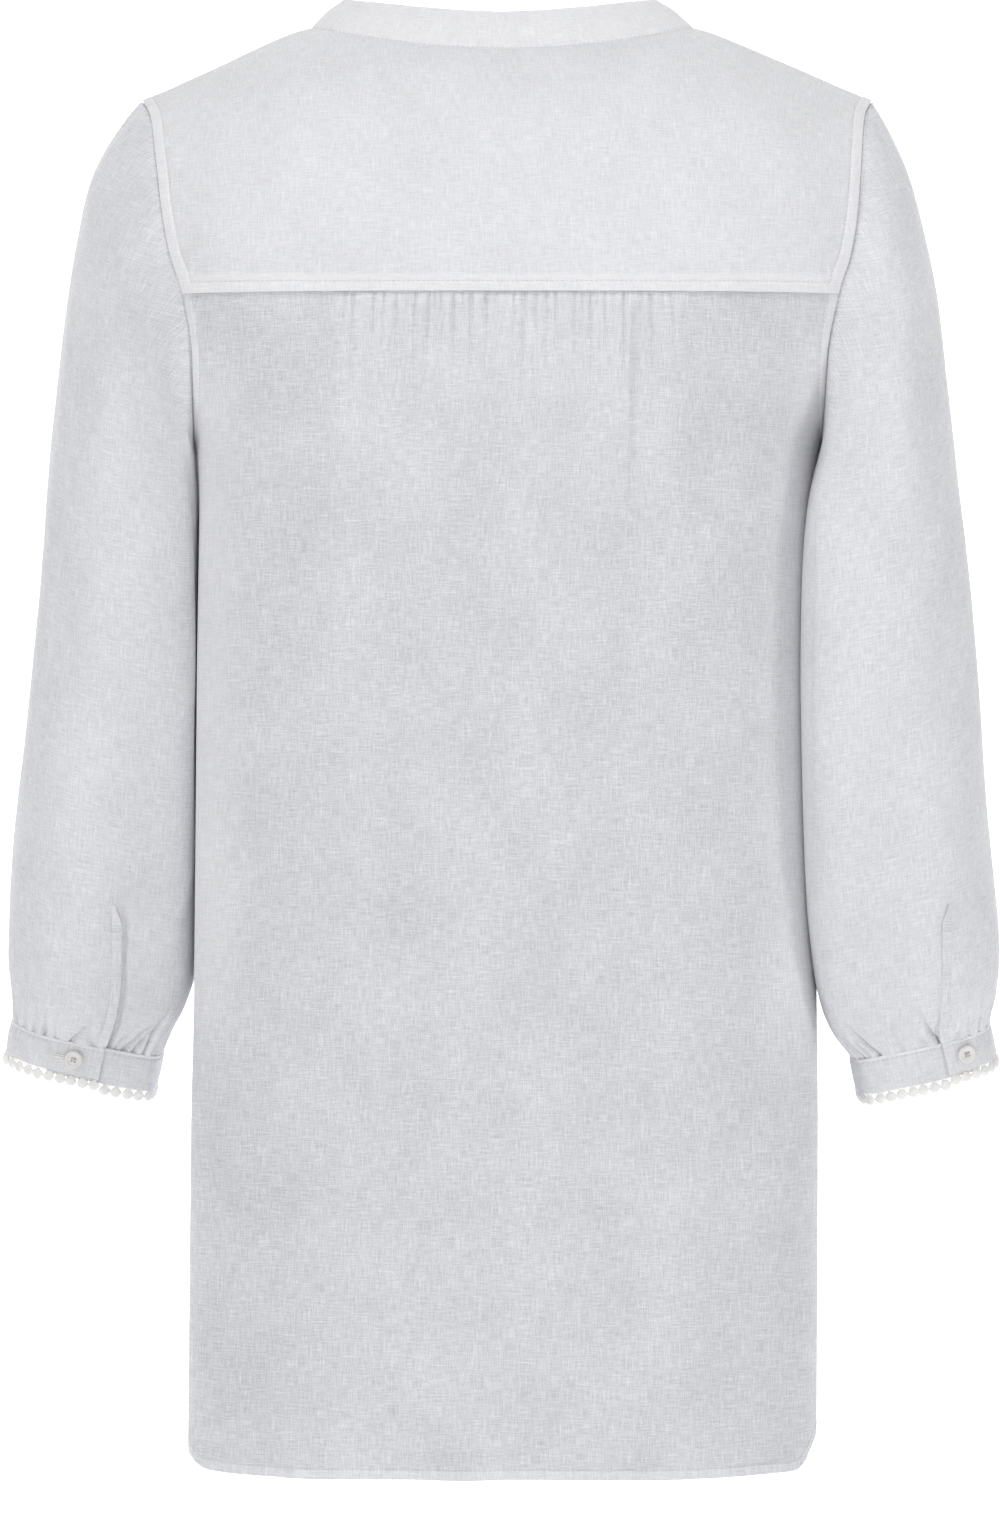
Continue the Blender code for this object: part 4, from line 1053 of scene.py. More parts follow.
def linen_weave(single, double):
    """Bleached linen, plain woven from uneven flax yarn, as soft as washing leaves it.

    Flax yarn has thick slubs, so light streaks run with the warp and the weft. The yarn is
    0.5 mm thick and is drawn 0.9 mm, which is as fine as the render can show. One layer looks
    greyer than several, which the layers attribute mixes. That attribute also carries painted
    light, paler where shade falls beside the sleeves and lighter on the ridges of the gathers.
    """
    made, tree = new_material("bleached_linen")
    place = add(tree, "UVMap", {}, uv_map="cloth").outputs["UV"]
    layers = add(tree, "Attribute", {}, attribute_name="layers").outputs["Fac"]
    yarns = []
    for scale in ((1350, 110, 1), (115, 1350, 1), (620, 44, 1), (48, 640, 1), (1700, 1700, 1)):
        at = add(tree, "Mapping", {"Vector": place, "Scale": scale}).outputs["Vector"]
        yarn = add(tree, "TexNoise", {"Vector": at, "Scale": 1.0, "Detail": 1.5, "Roughness": 0.6},
                   noise_dimensions="2D")
        yarns.append(yarn.outputs["Fac"])
    weave = add(tree, "Math", {0: yarns[0], 1: yarns[1]}, operation="ADD").outputs[0]
    slubs = add(tree, "Math", {0: yarns[2], 1: yarns[3]}, operation="MAXIMUM").outputs[0]
    slubs = add(tree, "MapRange", {"Value": slubs, "From Min": 0.56, "From Max": 0.78}).outputs[0]
    cloud_at = add(tree, "Mapping", {"Vector": place, "Scale": (26, 18, 1)}).outputs["Vector"]
    cloud = add(tree, "TexNoise", {"Vector": cloud_at, "Scale": 1.0, "Detail": 3.0},
                noise_dimensions="2D").outputs["Fac"]
    shade = add(tree, "Math", {0: weave, 1: 0.65, 2: -1.293}, operation="MULTIPLY_ADD").outputs[0]
    for part, much in ((yarns[4], 1.0), (slubs, 0.16), (cloud, 0.3)):
        shade = add(tree, "Math", {0: part, 1: much, 2: shade}, operation="MULTIPLY_ADD").outputs[0]
    depth = add(tree, "MapRange", {"Value": layers, "To Min": 0.6, "To Max": 0.2}).outputs[0]
    body = add(tree, "Mix", {"Factor": layers, "A": linear(single), "B": linear(double)},
               data_type="RGBA").outputs["Result"]
    tone = add(tree, "Math", {0: shade, 1: depth, 2: 1.0}, operation="MULTIPLY_ADD").outputs[0]
    toned = add(tree, "Mix", {"Factor": 1.0, "A": body, "B": tone}, data_type="RGBA",
                blend_type="MULTIPLY").outputs["Result"]
    height = add(tree, "Math", {0: slubs, 1: 0.6, 2: weave}, operation="MULTIPLY_ADD").outputs[0]
    bump = add(tree, "Bump", {"Height": height, "Strength": 0.5, "Distance": 0.0002})
    shader = add(tree, "BsdfPrincipled", {
        "Base Color": toned,
        "Roughness": 0.88,
        "Specular IOR Level": 0.25,
        "Sheen Weight": 0.12,
        "Sheen Roughness": 0.5,
        "Normal": bump.outputs["Normal"],
    })
    out = add(tree, "OutputMaterial", {"Surface": shader.outputs["BSDF"]})
    out.target = "ALL"
    return made


def cotton_thread(name, colour):
    """Mercerised cotton thread, two plies twisted, with a soft shine along its turns."""
    made, tree = new_material(name)
    place = add(tree, "TexCoord", {}).outputs["Object"]
    twist = add(tree, "TexNoise", {"Vector": place, "Scale": 1400.0, "Detail": 1.0})
    tone = add(tree, "MapRange", {"Value": twist.outputs["Fac"], "To Min": 0.90, "To Max": 1.04})
    toned = add(tree, "Mix", {"Factor": 1.0, "A": linear(colour), "B": tone.outputs[0]},
                data_type="RGBA", blend_type="MULTIPLY").outputs["Result"]
    bump = add(tree, "Bump", {"Height": twist.outputs["Fac"], "Strength": 0.6, "Distance": 0.0002})
    shader = add(tree, "BsdfPrincipled", {
        "Base Color": toned,
        "Roughness": 0.62,
        "Specular IOR Level": 0.35,
        "Normal": bump.outputs["Normal"],
    })
    add(tree, "OutputMaterial", {"Surface": shader.outputs["BSDF"]})
    return made


def pearl_shell(colour, vein):
    """Polished river shell: pale, with faint cloudy bands and a clear gloss."""
    made, tree = new_material("polished_shell")
    place = add(tree, "TexCoord", {}).outputs["Object"]
    bands = add(tree, "TexNoise", {"Vector": place, "Scale": 240.0, "Detail": 3.0, "Distortion": 1.2})
    colours = {"Factor": bands.outputs["Fac"], "A": linear(colour), "B": linear(vein)}
    body = add(tree, "Mix", colours, data_type="RGBA").outputs["Result"]
    shader = add(tree, "BsdfPrincipled", {
        "Base Color": body,
        "Roughness": 0.28,
        "IOR": 1.53,
        "Coat Weight": 0.4,
        "Coat Roughness": 0.12,
    })
    add(tree, "OutputMaterial", {"Surface": shader.outputs["BSDF"]})
    return made


def studio_paper(colour):
    """Matt white paper of a photographer's sweep."""
    made, tree = new_material("studio_paper")
    place = add(tree, "TexCoord", {}).outputs["Object"]
    grain = add(tree, "TexNoise", {"Vector": place, "Scale": 3.0, "Detail": 2.0})
    tone = add(tree, "MapRange", {"Value": grain.outputs["Fac"], "To Min": 0.99, "To Max": 1.0})
    toned = add(tree, "Mix", {"Factor": 1.0, "A": linear(colour), "B": tone.outputs[0]},
                data_type="RGBA", blend_type="MULTIPLY").outputs["Result"]
    shader = add(tree, "BsdfPrincipled", {
        "Base Color": toned,
        "Roughness": 0.95,
        "Specular IOR Level": 0.1,
        "Emission Color": linear("#FFFFFF"),
        "Emission Strength": 0.20,
    })
    add(tree, "OutputMaterial", {"Surface": shader.outputs["BSDF"]})
    return made


MATERIALS = {}


def finish_of(kind):
    """The shared material of that kind, made once from the colours in the scene's settings."""
    colours = bpy.context.scene.tunic_colours
    if kind not in MATERIALS:
        MATERIALS[kind] = {
            "linen": lambda: linen_weave(colours.single_linen, colours.double_linen),
            # the sewing thread's colour is darker than the doubled linen: painted shade of the stitch
            # holes
            "thread": lambda: cotton_thread("sewing_thread_with_painted_shade", colours.thread),
            "edging": lambda: cotton_thread("crochet_cotton", colours.edging),
            "pearl": lambda: pearl_shell(colours.pearl, colours.pearl_vein),
            "paper": lambda: studio_paper(colours.paper),
        }[kind]()
    return MATERIALS[kind]


def grid_object(name, points, kind, uv=None, layers=None, closed=False):
    """An object whose faces join the neighbours of a grid of points.

    Its first and last columns are one where it is closed. The UV map holds each point's place
    on the flat cloth, and the layers attribute how pale the cloth looks.
    """
    places = points[:, :-1] if closed else points
    index = np.arange(places.shape[0] * places.shape[1]).reshape(places.shape[:2])
    if closed:
        index = np.concatenate([index, index[:, :1]], axis=1)
    corners = (np.s_[:-1, :-1], np.s_[:-1, 1:], np.s_[1:, 1:], np.s_[1:, :-1])
    faces = np.stack([index[c] for c in corners], axis=-1).reshape(-1, 4)
    mesh = mesh_of(name, places.reshape(-1, 3), faces)
    if uv is not None:
        both = np.stack(uv, axis=-1)
        flat = np.stack([both[c] for c in corners], axis=-2).reshape(-1)
        mesh.uv_layers.new(name="cloth").uv.foreach_set("vector", flat.astype(np.float32))
    if layers is not None:
        thick = np.broadcast_to(layers, points.shape[:2])
        thick = thick[:, :-1] if closed else thick
        made = mesh.attributes.new("layers", "FLOAT", "POINT")
        made.data.foreach_set("value", thick.reshape(-1).astype(np.float32))
    return finished(name, mesh, kind)


def mesh_of(name, places, faces):
    """A mesh with a point for each row of places and a face for each row of corners."""
    mesh = bpy.data.meshes.new(name)
    mesh.vertices.add(len(places))
    mesh.vertices.foreach_set("co", places.reshape(-1).astype(np.float32))
    mesh.loops.add(faces.size)
    mesh.loops.foreach_set("vertex_index", faces.reshape(-1).astype(np.int32))
    mesh.polygons.add(len(faces))
    starts = np.arange(len(faces)) * faces.shape[1]
    mesh.polygons.foreach_set("loop_start", starts.astype(np.int32))
    mesh.update(calc_edges=True)
    return mesh


def finished(name, mesh, kind):
    """An object for a mesh, smooth, in its material and riding on the garment's one body."""
    mesh.materials.append(finish_of(kind))
    mesh.shade_smooth()
    made = bpy.data.objects.new(name, mesh)
    bpy.context.scene.collection.objects.link(made)
    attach(made, "root")
    return made


def give_wall(piece, wall, rim=0.0003):
    """Gives a sheet its thickness, half to each side, and rounds its cut edges."""
    solid = piece.modifiers.new("wall", "SOLIDIFY")
    solid.thickness = wall
    solid.offset = 0
    edge = piece.modifiers.new("edges", "BEVEL")
    edge.width = rim
    edge.segments = 2
    edge.limit_method = "ANGLE"
    edge.angle_limit = math.radians(60)


def repeated(name, template, faces, origins, axes, kind):
    """Copies of one small shape at each origin, turned to that place's three axes."""
    count, size = len(origins), len(template)
    places = np.einsum("vk,nkc->nvc", template, axes) + origins[:, None]
    shifted = faces[None] + (np.arange(count) * size)[:, None, None]
    mesh = mesh_of(name, places.reshape(-1, 3), shifted.reshape(-1, faces.shape[1]))
    return finished(name, mesh, kind)


def bead(along, around, length, width, height):
    """A closed bead: rings of points on an ellipsoid, whose first and last rings are its tips."""
    a = np.linspace(0, math.pi, along)[:, None]
    b = np.linspace(0, 2 * math.pi, around + 1)[:-1]
    ring = np.sin(a)
    y, z = ring * np.cos(b) * width / 2, ring * np.sin(b) * height / 2
    spots = np.stack(np.broadcast_arrays(np.cos(a) * length / 2, y, z), axis=-1)
    index = np.arange(along * around).reshape(along, around)
    index[0], index[-1] = index[0, 0], index[-1, 0]
    turned = np.roll(index, -1, axis=1)
    faces = np.stack([index[:-1], index[1:], turned[1:], turned[:-1]], axis=-1).reshape(-1, 4)
    return spots.reshape(-1, 3), faces


def tidy_mesh(piece):
    """Merges the points that share a place, and drops the faces that this leaves without area."""
    bm = bmesh.new()
    bm.from_mesh(piece.data)
    bmesh.ops.remove_doubles(bm, verts=bm.verts, dist=0.000002)
    bmesh.ops.delete(bm, geom=[v for v in bm.verts if not v.link_faces], context="VERTS")
    bmesh.ops.recalc_face_normals(bm, faces=bm.faces)
    bm.to_mesh(piece.data)
    bm.free()
    piece.data.shade_smooth()


def stitched(name, paths):
    """A row of lockstitches along each path, which is its points and the cloth's normals there."""
    sizes = bpy.context.scene.tunic_sizes
    spots, faces = bead(4, 5, sizes.stitch_length, sizes.thread * 1.3, sizes.thread)
    origins, axes = [], []
    for points, out in paths:
        run = run_of(points)
        count = max(int(run[-1] / sizes.stitch_pitch), 1)
        want = (np.arange(count) + 0.5) * run[-1] / count
        place = at_distances(points, want)
        way = at_distances(points, np.minimum(want + 0.0006, run[-1])) - place
        way /= np.maximum(np.linalg.norm(way, axis=1, keepdims=True), 1e-9)
        up = values_at(run, out, want)
        up -= way * np.sum(up * way, axis=1, keepdims=True)
        up /= np.linalg.norm(up, axis=1, keepdims=True)
        origins.append(place + up * sizes.thread * 0.25)
        axes.append(np.stack([way, np.cross(up, way), up], axis=1))
    piece = repeated(name, spots, faces, np.concatenate(origins), np.concatenate(axes), "thread")
    tidy_mesh(piece)
    return piece


def on_wall(points, wall, around=False, outward=1):
    """A grid's outer face and normals: its points moved out by half of its wall."""
    out = normals(points, around) * outward
    return points + out * wall / 2, out


def column_at(points, edge, distance, keep):
    """The line at a distance from both ends of the kept rows: right side, then left side."""
    lines = []
    middle = points.shape[1] // 2
    for half in (np.s_[:middle], np.s_[:middle:-1]):
        near, places = edge[keep][:, half], points[keep][:, half]
        line = [
            [np.interp(distance, near[row], places[row, :, axis]) for axis in range(3)]
            for row in range(len(near))
        ]
        lines.append(np.array(line))
    return lines


def body_stitches(name, panel, edge, above, beside):
    """The stitches of a body panel's outer face: beside each armhole and along the hem."""
    outer, out = panel
    lines = column_at(outer, edge, STRIP, beside)
    ups = column_at(out, edge, STRIP, beside)
    row = int(np.argmin(np.abs(above[:, 0] - HEM_DEPTH)))
    return stitched(name, [*zip(lines, ups), (outer[row, 3:-3], out[row, 3:-3])])


def wall_sign(points, outward):
    """1 where a grid's own normals point that way, and -1 where they point against it."""
    return 1 if np.sum(normals(points) * outward) > 0 else -1


def size_setting(name, description, default):
    """A size in the settings, in metres."""
    return bpy.props.FloatProperty(
        name=name, description=description, default=default, unit="LENGTH", precision=4
    )


def colour_setting(name, description, default):
    """A colour in the settings, as an sRGB hex value."""
    return bpy.props.StringProperty(name=name, description=description, default=default)


class TunicSizes(bpy.types.PropertyGroup):
    """Sizes of the cloth, the sewing and the edging."""

    linen: size_setting("Linen", "Thickness of one layer", 0.0008)
    double_linen: size_setting("Doubled linen", "Thickness of two layers", 0.0013)
    stitch_length: size_setting("Stitch", "Length of one stitch", 0.0015)
    stitch_pitch: size_setting("Stitch pitch", "From one stitch to the next", 0.0029)
    thread: size_setting("Thread", "Thickness of the sewing thread", 0.0004)
    button: size_setting("Button", "Radius of a cuff button", 0.0057)
    buttonhole: size_setting("Buttonhole", "From a button's middle to the far end of its hole", 0.0118)
    picot_width: size_setting("Picot width", "Width of one picot", 0.0074)
    picot_drop: size_setting("Picot drop", "From the cuff's edge to a picot's tip", 0.0074)


class TunicColours(bpy.types.PropertyGroup):
    """Colours as sRGB hex values."""

    single_linen: colour_setting("Linen", "One layer of linen", "#D3D4D8")
    double_linen: colour_setting("Layered linen", "Several layers of linen, as at the seams", "#EBEBEE")
    # darker than the doubled linen it is sewn into: painted shade of the stitch holes
    thread: colour_setting("Thread", "Sewing thread", "#D4D4D8")
    edging: colour_setting("Edging", "Picot edging", "#F9F8F6")
    pearl: colour_setting("Button", "Button shell", "#F3F2EF")
    pearl_vein: colour_setting("Button bands", "Darker bands of the shell", "#DBD9D5")
    paper: colour_setting("Paper", "Floor and backdrop", "#FAFAFA")


class TUNIC_OT_back(bpy.types.Operator):
    """Makes the back panel, gathered into the yoke, and the stitches of its armholes and hem"""

    bl_idname = "tunic.back"
    bl_label = "Back"

    def execute(self, context):
        sizes = context.scene.tunic_sizes
        points, x, arch, layers, edge, above = back_grid()
        panel = grid_object("back_panel", points, "linen", (x, arch), layers)
        give_wall(panel, sizes.linen)
        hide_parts("back")
        face = on_wall(points, sizes.linen, outward=wall_sign(points, [0, 1, 0]))
        heights = points[:, 0, 2]
        beside = (heights > UNDERARM + 0.004) & (heights < YOKE_SEAM - 0.001)
        rows = body_stitches("back_stitches", face, edge, above, beside)
        return {"FINISHED"}


class TUNIC_OT_front(bpy.types.Operator):
    """Makes the front panel, with the V of its neckline, and its stitches"""

    bl_idname = "tunic.front"
    bl_label = "Front"

    def execute(self, context):
        sizes = context.scene.tunic_sizes
        points, x, arch, layers, edge, above = front_grid()
        panel = grid_object("front_panel", points, "linen", (x, arch), layers)
        give_wall(panel, sizes.linen)
        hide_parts("front")
        face = on_wall(points, sizes.linen, outward=wall_sign(points, [0, -1, 0]))
        heights = points[:, 0, 2]
        beside = (heights > UNDERARM + 0.004) & (heights < heights[0] - 0.004)
        rows = body_stitches("front_stitches", face, edge, above, beside)
        return {"FINISHED"}


class TUNIC_OT_yoke(bpy.types.Operator):
    """Makes the doubled yoke and the topstitching inside its outer edge"""

    bl_idname = "tunic.yoke"
    bl_label = "Yoke"

    def execute(self, context):
        sizes = context.scene.tunic_sizes
        points, x, arch, layers = yoke_grid()
        panel = grid_object("yoke_panel", points, "linen", (x, arch), layers)
        give_wall(panel, sizes.double_linen)
        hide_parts("yoke")
        outer, out = on_wall(points, sizes.double_linen, outward=wall_sign(points, [0, 0.5, 1]))
        row = np.s_[YOKE_STITCH_ROW, 2:-2]
        rows = stitched("yoke_stitches", [(outer[row], out[row])])
        return {"FINISHED"}


class TUNIC_OT_neckband(bpy.types.Operator):
    """Makes the stand band round the neck and the stitches along its seam"""

    bl_idname = "tunic.neckband"
    bl_label = "Neckband"

    def execute(self, context):
        sizes = context.scene.tunic_sizes
        points, u, v = band_grid()
        band = grid_object("neckband", points, "linen", (u, v), BAND_PALE, closed=True)
        give_wall(band, sizes.double_linen, 0.0005)
        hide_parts("neck_band")
        inner = np.mean(points, axis=(0, 1))
        sign = 1 if np.sum(normals(points, True) * (points - inner)) > 0 else -1
        outer, out = on_wall(points, sizes.double_linen, True, sign)
        rows = stitched("neckband_stitches", [(outer[BAND_STITCH_ROW], out[BAND_STITCH_ROW])])
        return {"FINISHED"}


class TUNIC_OT_sleeves(bpy.types.Operator):
    """Makes both sleeves, eased at the head and gathered at the cuff"""

    bl_idname = "tunic.sleeves"
    bl_label = "Sleeves"

    def execute(self, context):
        for side, hand in HANDS:
            points, u, v = sleeve_grid(side, hand)
            seam = np.minimum(u - u[:, :1], u[:, -1:] - u)
            # paler towards the inside seam: painted light that lifts the shade between the sleeve and
            # the body
            layers = SLEEVE_PALE + (SLEEVE_INSIDE_PAINTED_LIGHT - SLEEVE_PALE) * smooth(1.1 - seam / 0.050)
            name = "sleeve_cloth_" + hand
            sleeve = grid_object(name, points, "linen", (u, v), layers, closed=True)
            give_wall(sleeve, context.scene.tunic_sizes.linen)
            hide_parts("sleeve_" + hand)
        return {"FINISHED"}


class TUNIC_OT_cuffs(bpy.types.Operator):
    """Makes both cuffs with their stitches and worked buttonholes"""

    bl_idname = "tunic.cuffs"
    bl_label = "Cuffs"

    def execute(self, context):
        sizes = context.scene.tunic_sizes
        for side, hand in HANDS:
            points, u, v = cuff_grid(side, hand)
            layers = CUFF_PALE + 0.4 * smooth((CUFF_STITCHES - v) / 0.0006 + 0.5)
            cuff = grid_object("cuff_cloth_" + hand, points, "linen", (u, v), layers)
            give_wall(cuff, sizes.double_linen, 0.0005)
            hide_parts("cuff_" + hand)
            middle = np.mean(points, axis=(0, 1))
            sign = 1 if np.sum(normals(points) * (points - middle)) > 0 else -1
            outer, out = on_wall(points, sizes.double_linen, outward=sign)
            row = np.s_[CUFF_STITCH_ROW, 1:-18]
            rows = stitched("cuff_stitches_" + hand, [(outer[row], out[row])])
            buttonhole(side, hand)
        return {"FINISHED"}


def buttonhole(side, hand):
    """A worked buttonhole: bars of thread side by side along both lips of its cut."""
    sizes = bpy.context.scene.tunic_sizes
    start = FLAP_EDGE[hand] - BUTTON_TURN[hand]
    top, out = cuff_path(side, hand, np.linspace(start, start + 0.6, 200))
    mirror = np.array([side, 1, 1])
    down = cuff_frame(side)[1]
    line = (top + down * FLAP_DEPTH / 2 + out * (sizes.double_linen / 2 + 0.0005)) * mirror
    run = run_of(line)
    want = np.arange(0.0016, sizes.buttonhole, BAR_PITCH)
    centre = at_distances(line, want)
    facing = values_at(run, out * mirror, want)
    up = -down * mirror - facing * (facing @ (-down * mirror))[:, None]
    up /= np.linalg.norm(up, axis=1, keepdims=True)
    spots, faces = bead(5, 6, 0.0013, 0.0005, 0.0006)
    axes = np.stack([up, np.cross(facing, up), facing], axis=1)
    origins = np.concatenate([centre + up * BAR_OFFSET, centre - up * BAR_OFFSET])
    axes = np.concatenate([axes, axes])
    piece = repeated("buttonhole_" + hand, spots, faces, origins, axes, "edging")
    tidy_mesh(piece)
    return piece


class TUNIC_OT_plackets(bpy.types.Operator):
    """Makes the folded strips that bind the slits above the cuffs"""

    bl_idname = "tunic.plackets"
    bl_label = "Plackets"

    def execute(self, context):
        for side, hand in HANDS:
            points, u, v = placket_grid(side, hand)
            tip = smooth((0.014 - (v - v.min())) / 0.008)
            layers = PLACKET_PALE + (0.16 + 0.4 * tip) * PLACKET_SHOWS[hand]
            strip_piece = grid_object("placket_cloth_" + hand, points, "linen", (u, v), layers)
            give_wall(strip_piece, PLACKET_WALL, 0.0002)
            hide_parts("placket_" + hand)
        return {"FINISHED"}


def placket_grid(side, hand):
    """A placket: a narrow strip of the sleeve's own form beside its slit, moved out of it."""
    above = np.linspace(SLIT_LENGTH, 0.003, 60)
    down, across = np.meshgrid(SLEEVE_LENGTH - above, np.linspace(0, 1, 9), indexing="ij")
    tip = smooth((SLIT_LENGTH - above) / 0.012)[:, None]
    share = 1 - (1 - across) * (0.35 + 0.65 * tip)
    start = slit_line(hand, above)[:, None] + 0 * down
    ahead, _ = sleeve_ring(side, down, start + 0.02)
    behind, _ = sleeve_ring(side, down, start - 0.02)
    speed = np.linalg.norm(ahead - behind, axis=-1) / 0.04
    turn = start - share * PLACKET_WIDTH / speed
    ring, middle = sleeve_ring(side, down, turn)
    out = normals(ring)
    out = out * np.sign(np.sum(out * (ring - middle), axis=-1, keepdims=True))
    lift = PLACKET_LIFT - 0.0002 * np.abs(across * 2 - 1) ** 4
    lift = lift + flap_rise(hand, turn, above[:, None])
    points = ring + out * lift[..., None]
    return points * [side, 1, 1], across * PLACKET_WIDTH, down


class TUNIC_OT_buttons(bpy.types.Operator):
    """Makes the two shell buttons of the cuffs and the thread that holds them"""

    bl_idname = "tunic.buttons"
    bl_label = "Buttons"

    def execute(self, context):
        for side, hand in HANDS:
            make_button(side, hand, context.scene.tunic_sizes)
        return {"FINISHED"}


def button_place(side, hand):
    """A button's middle, and its three axes: along the cuff, up it and out of it."""
    travel = np.array([FLAP_EDGE[hand] - BUTTON_TURN[hand]])
    top, out = cuff_path(side, hand, travel)
    mirror = np.array([side, 1, 1])
    down = cuff_frame(side)[1] * mirror
    out = out[0] * mirror
    up = -down - out * np.dot(-down, out)
    up /= np.linalg.norm(up)
    place = (top[0] + cuff_frame(side)[1] * FLAP_DEPTH / 2) * mirror
    seat = place + out * (CUFF_WALL / 2 + BUTTON_SHANK)
    return seat, np.stack([np.cross(up, out), up, out])


def lathe(profile, sides):
    """A closed turned shape: rings of the profile's radii at its heights, whose ends are points."""
    angle = np.linspace(0, 2 * math.pi, sides + 1)[:-1]
    radius, height = profile.T[:, :, None]
    x, y = radius * np.cos(angle), radius * np.sin(angle)
    spots = np.stack(np.broadcast_arrays(x, y, height), axis=-1)
    index = np.arange(spots.shape[0] * sides).reshape(-1, sides)
    turned = np.roll(index, -1, axis=1)
    faces = np.stack([index[:-1], turned[:-1], turned[1:], index[1:]], axis=-1).reshape(-1, 4)
    return spots.reshape(-1, 3), faces


def make_button(side, hand, sizes):
    """A four-hole button: a turned disc with a raised rim, its holes cut through, and thread."""
    seat, axes = button_place(side, hand)
    r = sizes.button
    profile = np.array([
        (0, 0), (0.55 * r, 0), (0.85 * r, 0.0003), (0.98 * r, 0.0009), (r, 0.0014),
        (0.97 * r, 0.0019), (0.90 * r, 0.0023), (0.80 * r, 0.0024), (0.70 * r, 0.0022),
        (0.60 * r, 0.0018), (0.50 * r, 0.0017), (0.25 * r, 0.0017), (0, 0.0017),
    ])
    spots, faces = lathe(profile, 48)
    button = repeated("button_shell_" + hand, spots, faces, seat[None], axes[None], "pearl")
    tidy_mesh(button)
    angle = math.pi / 4 + np.arange(4) * math.pi / 2
    holes = np.stack([np.cos(angle), np.sin(angle), 0 * angle], axis=1) * BUTTON_HOLE_OFFSET
    hole = BUTTON_HOLE_RADIUS
    spots, faces = lathe(np.array([(0, -0.002), (hole, -0.002), (hole, 0.004), (0, 0.004)]), 16)
    places = seat + holes @ axes
    four = repeated("button_cutter_" + hand, spots, faces, places, np.stack([axes] * 4), "pearl")
    tidy_mesh(four)
    cut = button.modifiers.new("holes", "BOOLEAN")
    cut.operation = "DIFFERENCE"
    cut.object = four
    shown = button.evaluated_get(bpy.context.evaluated_depsgraph_get())
    mesh = bpy.data.meshes.new_from_object(shown)
    button.modifiers.clear()
    button.data = mesh
    bpy.data.objects.remove(four, do_unlink=True)
    mesh.set_sharp_from_angle(angle=math.radians(40))
    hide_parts("button_" + hand)
    thread = button_thread(hand, holes, seat, axes)


def button_thread(hand, holes, seat, axes):
    """Four strands of thread in a cross over a button, each half a wave from hole to hole."""
    arch = np.linspace(0, math.pi, 15)[:, None]
    strands = []
    for first, last in ((0, 2), (1, 3)):
        for shift in (-0.00022, 0.00022):
            way = (holes[last] - holes[first]) / np.linalg.norm(holes[last] - holes[first])
            beside = np.array([-way[1], way[0], 0]) * shift
            line = holes[first] + (holes[last] - holes[first]) * (1 - np.cos(arch)) / 2 + beside
            height = 0.0013 + (0.0008 + first * 0.0003) * np.sin(arch) ** 0.5
            line = line + np.array([0, 0, 1]) * height
            strands.append(line @ axes + seat)
    return tubes("button_thread_" + hand, strands, 0.00026, 8, "thread")


def tubes(name, lines, radius, sides, kind):
    """Round cords, as one piece: a circle carried square to each line, closed at both ends."""
    spots, faces, count = [], [], 0
    angle = np.linspace(0, 2 * math.pi, sides + 1)[:-1]
    for line in lines:
        way = np.gradient(line, axis=0)
        way /= np.linalg.norm(way, axis=1, keepdims=True)
        beside = np.cross(way, [0.31, 0.62, 0.72])  # a direction that no line here follows
        beside /= np.linalg.norm(beside, axis=1, keepdims=True)
        other = np.cross(way, beside)
        taper = np.full(len(line), radius)
        taper[[0, -1]] = 0
        ring = beside[:, None] * np.cos(angle)[:, None] + other[:, None] * np.sin(angle)[:, None]
        spots.append((line[:, None] + ring * taper[:, None, None]).reshape(-1, 3))
        index = np.arange(len(line) * sides).reshape(-1, sides) + count
        turned = np.roll(index, -1, axis=1)
        corners = (index[:-1], turned[:-1], turned[1:], index[1:])
        faces.append(np.stack(corners, axis=-1).reshape(-1, 4))
        count += len(line) * sides
    made = finished(name, mesh_of(name, np.concatenate(spots), np.concatenate(faces)), kind)
    tidy_mesh(made)
    return made


class TUNIC_OT_edging(bpy.types.Operator):
    """Makes the crocheted picot edging under both cuffs"""

    bl_idname = "tunic.edging"
    bl_label = "Picot edging"

    def execute(self, context):
        sizes = context.scene.tunic_sizes
        for side, hand in HANDS:
            travel = np.linspace(0, 2 * math.pi, 1441)
            top, out = cuff_path(side, hand, travel)
            mirror = np.array([side, 1, 1])
            down = cuff_frame(side)[1]
            edge = (top + down * cuff_depth(travel)[:, None]) * mirror
            out, down = out * mirror, down * mirror
            run = run_of(edge)
            place = (np.arange(PICOTS) + 0.5) / PICOTS * run[-1]
            middle = at_distances(edge, place)
            facing = values_at(run, out, place)
            way = at_distances(edge, np.minimum(place + 0.001, run[-1])) - middle
            way /= np.linalg.norm(way, axis=1, keepdims=True)
            facing -= way * np.sum(way * facing, axis=1, keepdims=True)
            facing /= np.linalg.norm(facing, axis=1, keepdims=True)
            hang = np.cross(facing, way)
            hang *= np.sign(np.sum(hang * down, axis=1, keepdims=True))
            swing = 0.16 * side + np.sin(np.arange(PICOTS) * 2.4) * 0.05
            turned = way * np.cos(swing)[:, None] + hang * np.sin(swing)[:, None]
            hung = hang * np.cos(swing)[:, None] - way * np.sin(swing)[:, None]
            long = sizes.picot_drop - PICOT_GAP
            spots, faces = picot(sizes.picot_width, long)
            origins = middle + hung * (PICOT_GAP + long / 2)
            beads = repeated("picots_" + hand, spots, faces, origins,
                             np.stack([turned, hung, facing], axis=1), "edging")
            tidy_mesh(beads)
            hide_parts("cuff_trim_" + hand)
            steps = np.linspace(0, PICOTS, PICOTS * 8 + 1)
            wave = np.abs(np.sin(math.pi * steps)) ** 0.8
            spot = steps / PICOTS * run[-1]
            line = at_distances(edge, spot)
            up = values_at(run, out, spot)
            loops = line + down * (0.0004 + 0.0019 * wave)[:, None]
            edge_cord = line + down * 0.0004 + up * 0.0001
            cords = tubes("picot_threads_" + hand, [loops, edge_cord], 0.0003, 6, "edging")
        return {"FINISHED"}


